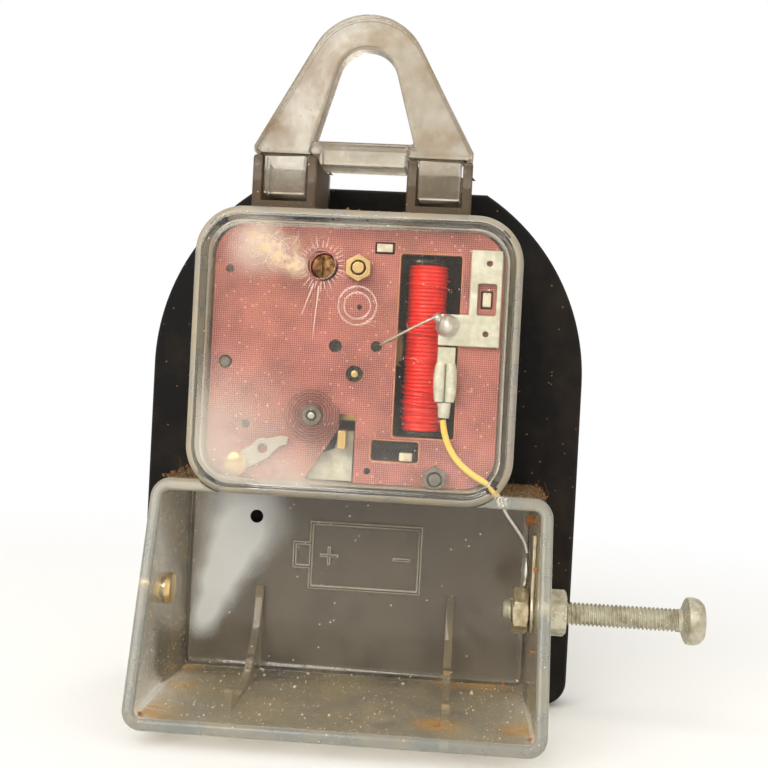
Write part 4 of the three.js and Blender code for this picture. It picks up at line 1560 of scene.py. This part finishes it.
@dataclass
class Terminals:
    """The bracket, solder, crimp, bare link and yellow lead."""

    bracket: tuple[Pair, ...] = (
        (13.9, 5.6), (24.2, 5.6), (24.2, 21.9), (18.9, 21.9), (18.9, 10.9), (13.9, 10.9),
    )
    joint: Triple = (15.5, 8.9, 22.9)
    lead_radius: float = 0.55
    bare_from: int = 61
    lobe: tuple[Pair, ...] = ((0.85, 2.6), (1.02, 0.6), (1.0, -1.6), (0.9, -3.9))
    link: tuple[Triple, ...] = (
        (13.6, 10.3, 23.8), (12.6, 9.9, 23.8), (9.4, 8.2, 23.1), (5.2, 5.8, 22.0), (3.6, 4.9, 21.4),
    )

    def build(self) -> None:
        """Makes each piece."""
        plate = prism("bracket_plate", self.bracket, 22.3, 22.9)
        cuts = [
            cylinder("hole_a", (22, 19.7), 0.5, 20, 24, 24),
            cylinder("hole_b", (21.85, 7.8), 0.5, 20, 24, 24),
            prism("peg_hole", RoundedBox(20.2, 23.4, 10.9, 16.3, 0.4).points(0, 5), 20, 24),
        ]
        combine(plate, Cut.AWAY, *cuts)
        fit(shade(soften(plate, 0.16, 3, 50)), ZINC, "case", "terminal_bracket")
        self.solder()
        self.crimp()
        link = swept("bare_link", smooth_line([place(*p) for p in self.link], 10), lambda t: 0.22, 12)
        fit(shade(link), STEEL, "case", "link_wire")
        route = smooth_line([place(*p) for p in LEAD_ROUTE], 10)
        lead = swept("yellow_wire", route[:self.bare_from + 1], lambda t: self.lead_radius, 20)
        fit(shade(lead), YELLOW, "case", "yellow_lead")
        bare = swept(
            "stripped_wire_end", route[self.bare_from:], lambda t: 0.26 + 0.03 * math.sin(t * 70), 12,
        )
        fit(shade(bare), SOLDER, "case")
        LOG.info("terminals done")

    def solder(self) -> None:
        """A lumpy dome of solder with a small tail."""
        x, z, height = self.joint
        profile = [
            (0.0, 1.7), (0.5, 1.62), (0.95, 1.4), (1.35, 1.05), (1.65, 0.62), (1.85, 0.28), (2.0, 0.05),
            (2.05, 0.0),
        ]
        blob = turned("solder_blob", profile, Axis.HEIGHT, (x, z, height), 48)
        roughen(blob, 1.4, 0.34)
        tail = turned(
            "tail", [(0.0, 1.1), (0.4, 0.95), (0.75, 0.5), (0.9, 0.0)], Axis.HEIGHT,
            (x - 1.9, z + 1.3, height), 32,
        )
        roughen(tail, 1.0, 0.2)
        fit(shade(join_all("solder_lump", [blob, tail]), 80), SOLDER, "case", "solder_joint")

    def crimp(self) -> None:
        """A rolled two-lobe barrel with its neck, and the flat tongue under the solder."""
        x = self.joint[0]
        parts = []
        for side in (-1, 1):
            line = [place(x + side * dx, z, 23.35) for dx, z in self.lobe]
            parts.append(swept("lobe", smooth_line(line, 8), lambda t: 0.95 - 0.2 * abs(2 * t - 1) ** 3, 20))
        grip = [place(x + dx, z, 23.3) for dx, z in ((0.0, -4.1), (0.05, -5.2), (0.0, -6.6))]
        parts.append(swept("grip", smooth_line(grip, 6), lambda t: 1.15 - 0.22 * t, 20))
        tongue = soften(slab("tongue", (x - 1.5, x + 1.5), (1.8, 5.3), (22.42, 23.0)), 0.15, 3)
        neck = soften(slab("neck", (x - 1.0, x + 1.0), (-6.4, 3.4), (22.42, 22.9)), 0.15, 3)
        fit(shade(join_all("crimped_barrel", [*parts, tongue, neck]), 60), ZINC, "case", "crimp_terminal")


# ---- escapement side ------------------------------------------------------------------------
@dataclass
class Hairspring:
    """The flat spiral, bowed into its stud at the outer end."""

    inner: float = 2.05
    outer: float = 4.7
    turns: int = 5
    thickness: float = 0.09
    low: float = 22.95
    high: float = 23.2
    tail: Pair = (4.35, -3.3)

    def line(self) -> list[Pair]:
        """The spring's centre line about the staff, bowed into the stud at its end."""
        steps = 40 * self.turns
        points = []
        for i in range(steps + 1):
            angle = 0.3 + 2 * math.pi * i / 40
            radius = self.inner + (self.outer - self.inner) * i / steps
            points.append((radius * math.cos(angle), radius * math.sin(angle)))
        last = Vector(points[-1])
        end = Vector(self.tail)
        bow = Vector((last.x + 0.6, end.y + 2.4))
        for k in range(1, 13):
            share = k / 12
            points.append(tuple(last.lerp(bow, share).lerp(bow.lerp(end, share), share)))
        return points

    def build(self) -> None:
        """Makes the ribbon."""
        staff = Vector(about("balance_swing"))
        line = [Vector(p) + staff for p in self.line()]
        mesh = bmesh.new()
        rows = []
        for i, point in enumerate(line):
            along = (line[min(i + 1, len(line) - 1)] - line[max(i - 1, 0)]).normalized()
            side = Vector((-along.y, along.x)) * self.thickness / 2
            corners = (
                (point + side, self.low), (point + side, self.high), (point - side, self.high),
                (point - side, self.low),
            )
            rows.append([mesh.verts.new(place(p.x, p.y, h)) for p, h in corners])
        skin(mesh, rows)
        spring = new_object("spiral_spring", mesh)
        fit(shade(spring, 50), SPRING_STEEL, "case", "hairspring")
        LOG.info("hairspring: %d turns", self.turns)


@dataclass
class Regulator:
    """The slotted brass regulating screw and the lever that it moves."""

    radius: float = 2.05
    low: float = 21.2
    high: float = 23.2
    slot: float = 0.28

    def build(self) -> None:
        """Makes the screw's head with a turned rim and a slot."""
        x, z = about("regulator_turn")
        r = self.radius
        head = turned(
            "brass_regulator_screw",
            [
                (0, 8), (1.1, 8), (1.1, self.low), (r - 0.15, self.low), (r, self.low + 0.15),
                (r, self.high - 0.35), (r - 0.1, self.high - 0.12), (r - 0.35, self.high), (0, self.high),
            ],
            Axis.HEIGHT, (x, z, 0), 64,
        )
        combine(head, Cut.AWAY, slab("slot", (x - self.slot, x + self.slot), (z - 3, z + 3), (22.5, 24)))
        fit(shade(soften(head, 0.06, 2, 50)), WORN_BRASS, "regulator_screw", "regulator_screw")
        arm = shade(soften(copy_of("regulator_arm", "regulator_lever_arm"), 0.1, 3, 50))
        fit(arm, STEEL, "regulator_lever", "regulator_arm")
        px, pz = about("regulator_lever_turn")
        cap = turned(
            "lever_rivet_cap", [(0, 0.42), (0.9, 0.38), (1.6, 0.2), (1.9, 0.0)], Axis.HEIGHT, (px, pz, 23.28),
            40,
        )
        fit(shade(cap), BRASS, "regulator_lever")
        LOG.info("regulator done")


# ---- battery contacts -----------------------------------------------------------------------
@dataclass
class ContactScrew:
    """The M4 screw with its rolled thread and cheese head, lying across the box."""

    start: float = 27.4
    head: float = 57.4
    end: float = 61.5
    radius: float = 1.95
    pitch: float = 0.7
    depth: float = 0.34
    axis: Pair = CELL_AXIS

    def build(self) -> None:
        """Makes the thread as one helical strip, then the head."""
        z, height = self.axis
        sides, rows = 32, []
        mesh = bmesh.new()
        shape = ((0.0, 1.0), (0.12, 1.0), (0.44, 0.0), (0.62, 0.0), (0.94, 1.0))
        turns = int((self.head - self.start - 0.6) / self.pitch)
        for i in range(turns * sides + 1):
            angle = 2 * math.pi * i / sides
            base = self.start + 0.3 + self.pitch * i / sides
            grow = min(1.0, i / sides)
            row = []
            for share, tall in shape:
                radius = self.radius - self.depth * (1 - tall * grow) if tall else self.radius - self.depth
                along = base + share * self.pitch
                row.append(mesh.verts.new(axis_point(Axis.ACROSS, (0, z, height), radius, along, angle)))
            rows.append(row)
        for one, two in zip(rows, rows[1:]):
            for a, b, c, d in zip(one, one[1:], two[1:], two):
                mesh.faces.new((a, b, c, d))
        for i in range(len(rows) - sides - 1):
            mesh.faces.new((rows[i][-1], rows[i + sides][0], rows[i + sides + 1][0], rows[i + 1][-1]))
        thread = new_object("thread", mesh)
        core = turned(
            "core", [(0, self.start), (1.2, self.start), (1.55, self.start + 0.35), (1.62, self.start + 0.5),
                     (1.62, self.head + 0.2), (0, self.head + 0.2)], Axis.ACROSS, (0, z, height), 32,
        )
        head = turned(
            "head",
            [(0, self.head - 0.6), (1.9, self.head - 0.6), (2.0, self.head + 0.1), (3.55, self.head + 0.75),
             (3.9, self.head + 1.0), (4.0, self.head + 1.5), (3.98, self.head + 2.3), (3.75, self.head + 3.1),
             (3.1, self.head + 3.75), (2.0, self.end - 0.1), (0, self.end)], Axis.ACROSS, (0, z, height), 56,
        )
        slot = slab("slot", (self.end - 1.2, self.end + 1), (z - 5, z + 5), (height - 0.45, height + 0.45))
        combine(head, Cut.AWAY, slot)
        soften(head, 0.08, 2, 50)
        screw = join_all("contact_screw_thread", [thread, core, head])
        fit(shade(screw, 30), OXIDE, "contact_screw", "contact_screw")
        LOG.info("contact screw: %d turns of thread", turns)


@dataclass
class Contacts:
    """The two nuts, the solder tag with its solder, and the rivet."""

    nut_radius: float = 4.04
    bore: float = 2.3
    nuts: tuple[tuple[str, Pair], ...] = (("inner_nut", (28.9, 31.5)), ("outer_nut", (34.9, 38.0)))
    axis: Pair = CELL_AXIS

    def nut(self, name: str, limits: Pair) -> bpy.types.Object:
        """A hexagon nut with chamfered corners."""
        z, height = self.axis
        start, end = limits
        r = self.nut_radius
        profile = [(0, start), (r, start), (r, end), (0, end)]
        body = turned(name + "_hexagon", profile, Axis.ACROSS, (0, z, height), 6)
        cone = turned(
            "cone", [
                (0, start), (r - 0.55, start), (r + 0.05, start + 0.32), (r + 0.05, end - 0.32),
                (r - 0.55, end), (0, end),
            ],
            Axis.ACROSS, (0, z, height), 48,
        )
        keep = body.modifiers.new("chamfer", "BOOLEAN")
        keep.operation, keep.solver, keep.object = "INTERSECT", "EXACT", cone
        bake(body)
        discard(cone)
        hole = turned("bore", [(0, start - 1), (self.bore, start - 1), (self.bore, end + 1), (0, end + 1)],
                      Axis.ACROSS, (0, z, height), 40)
        combine(body, Cut.AWAY, hole)
        return shade(soften(body, 0.1, 2, 50))

    def build(self) -> None:
        """Makes the nuts, the tag's solder and the rivet."""
        for (name, limits), finish in zip(self.nuts, (PALE_BRASS, OXIDE)):
            fit(self.nut(name, limits), finish, "case", name)
        tag = shade(soften(copy_of("solder_tag", "tinned_tag"), 0.1, 2, 50))
        fit(tag, PALE_BRASS, "case", "solder_tag")
        blob = shade(roughen(copy_of("tag_solder", "tag_solder_lump"), 1.2, 0.25), 80)
        fit(blob, SOLDER, "case", "tag_solder")
        rivet = shade(soften(copy_of("contact_rivet", "brass_rivet"), 0.1, 2, 50))
        fit(rivet, BRASS, "case", "contact_rivet")
        LOG.info("battery contacts done")


# ---- the rest of the works ------------------------------------------------------------------
NODE_BODY: dict[str, str] = {
    node: body for body, nodes in frame["record"]["behaviour"]["bodies"].items() for node in nodes
}
# front_plate takes SHADED, a dark colour that paints the shade the plate lies in.
WORKS: dict[str, tuple[Finish, float]] = {
    "front_plate": (SHADED, 0.1), "pillar_top": (BRASS, 0.1), "pillar_right": (DULL, 0.1),
    "pillar_left": (DULL, 0.1), "pillar_nut_brass": (BRASS, 0.12), "pillar_nut_steel": (DULL, 0.12),
    "centre_wheel": (BRASS, 0.06), "cannon_pinion": (STEEL, 0.06), "minute_wheel": (BRASS, 0.06),
    "third_wheel": (BRASS, 0.06), "second_wheel": (BRASS, 0.06), "index_wheel": (BRASS, 0.06),
    "hour_wheel": (BRASS, 0.06), "hand_cap": (BRASS, 0.15), "index_cock": (BRASS, 0.1),
    "balance_wheel": (BRASS, 0.12), "balance_staff": (STEEL, 0.06), "collet": (DULL, 0.12),
    "stud_carrier": (ZINC, 0.1), "hairspring_stud": (BRASS, 0.14), "coil_bobbin": (IRON, 0.12),
    "coil_core": (IRON, 0.12), "coil_carrier": (NYLON, 0.16), "centre_bush": (BRASS, 0.12),
    "dial_nut": (BRASS, 0.15),
}


@dataclass
class Works:
    """Plates, pillars, train and motion work, with their edges broken."""

    pieces: dict[str, tuple[Finish, float]] = field(default_factory=lambda: dict(WORKS))
    grime_top: float = 20.8

    def build(self) -> None:
        """Makes a softened piece for each node, and lays painted shade on the coil carrier's faces below the
        laminate plate.
        """
        for node, (finish, edge) in self.pieces.items():
            piece = shade(soften(copy_of(node, node + "_part"), edge, 2, 40))
            fit(piece, finish, NODE_BODY[node], node)
            # Painted shade: the coil carrier's faces under the laminate plate get a dark film.
            if node == "coil_carrier":
                coat(piece, "carrier_painted_recess_shade", PAINTED_SHADE, lambda x, z, h: h < self.grime_top)
        LOG.info("works: %d pieces", len(self.pieces))


# ---- dust, stains, a painted reflection and painted shade -----------------------------------
@dataclass
class Dust:
    """Films, crumbs and fibres on the mouldings, with a painted reflection on the box floor and painted shade in
    the pivot holes.
    """

    crumbs: int = 420
    fluff: int = 260
    fibres: int = 30
    fibre_radius: float = 0.016
    floor_hole: tuple[Pair, float] = ((-19, -28), 1.25)
    cover_hole: float = 2.35

    def sheet(
        self, name: str, corners: Sequence[Triple], finish: Finish, hole: Optional[tuple[Pair, float]] = None
    ) -> None:
        """A flat film, with a round hole where the moulding has one.

        Args:
            name: the film's name.
            corners: its corners as x, z and height.
            finish: its finish.
            hole: the hole's centre and radius.
        """
        loops = [list(corners)]
        if hole:
            loops.append([(x, z, corners[0][2]) for x, z in circle(hole[0], hole[1], 32)])
        mesh = bmesh.new()
        edges = []
        for loop in loops:
            ring = [mesh.verts.new(place(*point)) for point in loop]
            edges += [mesh.edges.new((a, b)) for a, b in zip(ring, [*ring[1:], ring[0]])]
        bmesh.ops.triangle_fill(mesh, edges=edges, use_beauty=True)
        fit(new_object(name, mesh), finish, "case")

    def build(self) -> None:
        """Lays the films, among them a painted reflection, and strews the crumbs and fibres; then adds rust and
        painted shade in the pivot holes.
        """
        face = [(x, z, 27.03) for x, z in RoundedBox(-26, 25.8, -19.4, 25.7, 6.6).points(0, 10)]
        access = (about("regulator_turn"), self.cover_hole)
        self.sheet("cover_film", face, HAZE, access)
        self.sheet("smear_film", [(x, z, 27.07) for x, z, _ in face], SMEAR, access)
        floor = RoundedBox(-31, 32.3, -56.4, -22, 1.5).points(0, 6)
        self.sheet("floor_film", [(x, z, 2.05) for x, z in floor], FLOOR_DUST, self.floor_hole)
        # Painted reflection: a whitish film on the left of the box floor, in place of a shine.
        self.sheet("painted_reflection_on_floor", [(x, z, 2.1) for x, z in floor], GLARE, self.floor_hole)
        bottom = [(-31, -56.62, 3.4), (32.3, -56.62, 3.4), (32.3, -56.62, 37), (-31, -56.62, 37)]
        self.sheet("bottom_film", bottom, BOTTOM_DUST)
        self.sheet("corner_film", [(x, z + 0.05, h) for x, z, h in bottom], CORNER_STAIN)
        rng = random.Random(SEED + 3)
        self.strew(rng, "dust_on_cover_top", self.crumbs, (-16, 14), 27.4, (2.6, 26), CRUMB)
        self.strew(rng, "dust_in_box", 150, (-31, 32), -56.6, (3, 35), PALE_CRUMB)
        self.strew(rng, "fluff_left_ear", self.fluff, (-32.6, -26.5), -19.2, (1, 25), CRUMB)
        self.strew(rng, "fluff_right_ear", self.fluff, (26.5, 34), -19.2, (1, 25), CRUMB)
        self.lint(rng)
        self.rust(rng)
        self.oil()
        LOG.info("dust done")

    def strew(
        self, rng: random.Random, name: str, count: int, x: Pair, top: float, height: Pair, finish: Finish
    ) -> None:
        """Crumbs on a face that looks up.

        Args:
            rng: the seeded generator.
            name: the piece's name.
            count: number of crumbs.
            x: limits across.
            top: z of the face.
            height: limits in height.
            finish: the crumbs' finish.
        """
        mesh = bmesh.new()
        for _ in range(count):
            size = rng.uniform(0.05, 0.2) * (1 + (rng.random() > 0.9))
            centre = place(rng.uniform(*x), top + size * 0.35, rng.uniform(*height))
            made = bmesh.ops.create_icosphere(mesh, subdivisions=1, radius=size * MM)
            for vertex in made["verts"]:
                vertex.co = vertex.co * rng.uniform(0.6, 1.3) + centre
        fit(new_object(name, mesh), finish, "case")

    def curl(self, rng: random.Random, start: Triple, reach: float, drift: Pair) -> bpy.types.Object:
        """One curly fibre that lies flat at the height of its start."""
        x, z, height = start
        heading = rng.uniform(0, 2 * math.pi)
        bend = rng.uniform(-0.5, 0.5)
        line = []
        for _ in range(14):
            line.append(place(x, z, height))
            heading += bend + rng.uniform(-0.35, 0.35)
            x += reach / 14 * math.cos(heading) + drift[0]
            z += reach / 14 * math.sin(heading) + drift[1]
        return swept("fibre", smooth_line(line, 3), lambda t: self.fibre_radius, 5)

    def lint(self, rng: random.Random) -> None:
        """Fibres in the smear, on the face and on the ears."""
        smear = [
            self.curl(
                rng, (rng.gauss(-13.5, 2.4), rng.gauss(21.3, 1.7), 27.1), rng.uniform(2.5, 6.5),
                (0.05, -0.04),
            )
            for _ in range(self.fibres)
        ]
        loose = [
            self.curl(rng, (rng.uniform(-23, 23), rng.uniform(-17, 23), 27.08), rng.uniform(0.8, 2.2), (0, 0))
            for _ in range(16)
        ]
        fit(join_all("lint_on_cover", smear + loose), LINT, "case")
        ears = []
        for low, high in ((-32, -27), (27, 33.5)):
            for _ in range(34):
                start = (rng.uniform(low, high), -19.1, rng.uniform(4, 25))
                ears.append(self.curl(rng, start, rng.uniform(1.0, 2.6), (0, 0.03)))
        fit(join_all("lint_on_ears", ears), CRUMB, "case")

    def rust(self, rng: random.Random) -> None:
        """Rusty lumps on the right wall and in the corners."""
        spots = (
            (31.9, -24.2, 13, 0.8), (31.4, -25.0, 14, 0.5), (32.2, -31, 24.5, 0.4), (32.3, -45, 24, 0.35),
            (17.1, -56.3, 31, 0.45), (31.9, -56.3, 35, 0.35), (-30.7, -56.4, 36, 0.4), (29, -56.4, 2.8, 0.3),
        )
        mesh = bmesh.new()
        for x, z, height, size in spots:
            for _ in range(5):
                made = bmesh.ops.create_icosphere(
                    mesh, subdivisions=2, radius=size * rng.uniform(0.35, 0.8) * MM,
                )
                shift = Vector([rng.uniform(-0.6, 0.6) * size * MM for _ in range(3)])
                for vertex in made["verts"]:
                    lump = 1 + 0.4 * noise.noise(vertex.co / (0.4 * MM) + shift / MM)
                    vertex.co = vertex.co * lump + place(x, z, height) + shift
        fit(shade(new_object("rust_lumps", mesh), 80), RUST, "case")

    def oil(self) -> None:
        """Painted shade: dark discs in the pivot holes of the laminate plate, and a dark pip below the cover's
        ring.
        """
        shade_discs = []
        for joint, radius in (("minute_turn", 1.4), ("second_wheel_turn", 1.05), ("third_wheel_turn", 0.9)):
            x, z = about(joint)
            profile = [(0, 0.1), (radius * 0.6, 0.02), (radius, 0.12)]
            shade_discs.append(turned("drop", profile, Axis.HEIGHT, (x, z, 21.75), 32))
        shade_discs.append(turned("pip", [(0, 0.12), (0.35, 0.1), (0.45, 0)], Axis.HEIGHT, (0.28, 11.4, 22.0), 24))
        fit(shade(join_all("painted_hole_shade_in_pivot_holes", shade_discs)), PAINTED_HOLE_SHADE, "case")


# ---- stage ----------------------------------------------------------------------------------
@dataclass(frozen=True)
class Lamp:
    """One area lamp, aimed at the object."""

    name: str
    at: Triple
    size: float
    power: float
    colour: Colour = (1.0, 1.0, 1.0)


@dataclass
class Stage:
    """White surroundings, a pale floor, soft lamps and the camera."""

    lamps: tuple[Lamp, ...] = (
        Lamp("key", (-0.25, -0.5, 0.35), 0.5, 3.8, (1.0, 0.97, 0.93)),
        Lamp("fill", (0.45, -0.4, 0.1), 0.5, 1.3, (1.0, 0.96, 0.9)),
        Lamp("back", (0.1, 0.5, 0.4), 0.6, 0.6),
    )
    world_low: Colour = (0.17, 0.16, 0.14)
    world_high: Colour = (0.78, 0.76, 0.72)
    floor_colour: Colour = (0.93, 0.93, 0.92)
    floor_reach: tuple[Pair, ...] = ((-3, -2), (3, -2), (3, 6), (-3, 6))
    floor_gap: float = 0.0004
    fade: Pair = (0.14, 0.3)
    middle: Triple = (0.0, 0.0, -0.055)
    eye: Triple = (0.01827, -0.20075, -0.05525)
    turn: Triple = (89.213, -2.950, 3.683)
    lens: float = 53.95

    def build(self) -> None:
        """Makes the floor, lamps, world and camera."""
        self.surroundings()
        mesh = bmesh.new()
        low = CAD_BOUNDS[0][2] - self.floor_gap
        mesh.faces.new([mesh.verts.new((x, y, low)) for x, y in self.floor_reach])
        floor = new_object("floor", mesh)
        floor.data.materials.append(self.floor_material())
        for lamp in self.lamps:
            self.light(lamp)
        camera = linked("camera", bpy.data.cameras.new("camera"))
        camera.location = self.eye
        camera.rotation_euler = [math.radians(a) for a in self.turn]
        camera.data.lens, camera.data.sensor_width = self.lens, 36.0
        camera.data.clip_start, camera.data.clip_end = 0.005, 20.0
        bpy.context.scene.camera = camera
        bpy.context.scene.view_settings.view_transform = "Standard"

    def surroundings(self) -> None:
        """A world that looks white, and lights the object from above more than from below."""
        world = bpy.data.worlds.new("surroundings")
        world.use_nodes = True
        graph = Graph(world.node_tree)
        plain = world.node_tree.nodes["Background"]
        plain.inputs[0].default_value = (1.0, 1.0, 1.0, 1.0)
        way = graph.node("SeparateXYZ", Vector=graph.node("TexCoord").outputs["Generated"])
        rise = graph.ranged(way.outputs["Z"], -0.5, 0.9, 0.0, 1.0)
        soft = graph.node("Background", Color=graph.blend(rise, self.world_low, self.world_high))
        seen = graph.node("LightPath").outputs["Is Camera Ray"]
        surface = world.node_tree.nodes["World Output"].inputs["Surface"]
        graph.feed(surface, graph.mix(seen, soft.outputs[0], plain.outputs[0]))
        bpy.context.scene.world = world

    def floor_material(self) -> bpy.types.Material:
        """A pale floor that fades into the white surroundings with distance."""
        material = bpy.data.materials.new("pale_floor")
        material.use_nodes = True
        graph = Graph(material.node_tree)
        shader = material.node_tree.nodes["Principled BSDF"]
        shader.inputs["Base Color"].default_value = (*self.floor_colour, 1.0)
        shader.inputs["Roughness"].default_value = 0.9
        away = graph.vector("LENGTH", graph.where()).outputs["Value"]
        far = graph.ranged(away, *self.fade, 0.0, 1.0)
        share = graph.maths("MULTIPLY", far, graph.node("LightPath").outputs["Is Camera Ray"])
        glow = graph.node("Emission", Color=(1.0, 1.0, 1.0, 1.0)).outputs[0]
        surface = material.node_tree.nodes["Material Output"].inputs["Surface"]
        graph.feed(surface, graph.mix(share, shader.outputs[0], glow))
        return material

    def light(self, lamp: Lamp) -> None:
        """Adds one area lamp that faces the object's middle."""
        data = bpy.data.lights.new(lamp.name, "AREA")
        data.size, data.energy, data.color = lamp.size, lamp.power, lamp.colour
        body = linked(lamp.name, data)
        middle = Vector(self.middle)
        body.location = Vector(lamp.at) + middle
        body.rotation_euler = (middle - body.location).to_track_quat("-Z", "Y").to_euler()


ASSEMBLIES = (
    ClearCase(), MovementCover(), HangingLoop(), DialSide(), RearPlate(), Coil(), Terminals(), Hairspring(),
    Regulator(), ContactScrew(), Contacts(), Works(), Dust(),
)


def main() -> None:
    """Builds every assembly, then the stage."""
    logging.basicConfig(level=logging.INFO, format="%(name)s: %(message)s")
    for assembly in ASSEMBLIES:
        assembly.build()
    Stage().build()


if __name__ == "__main__":
    main()
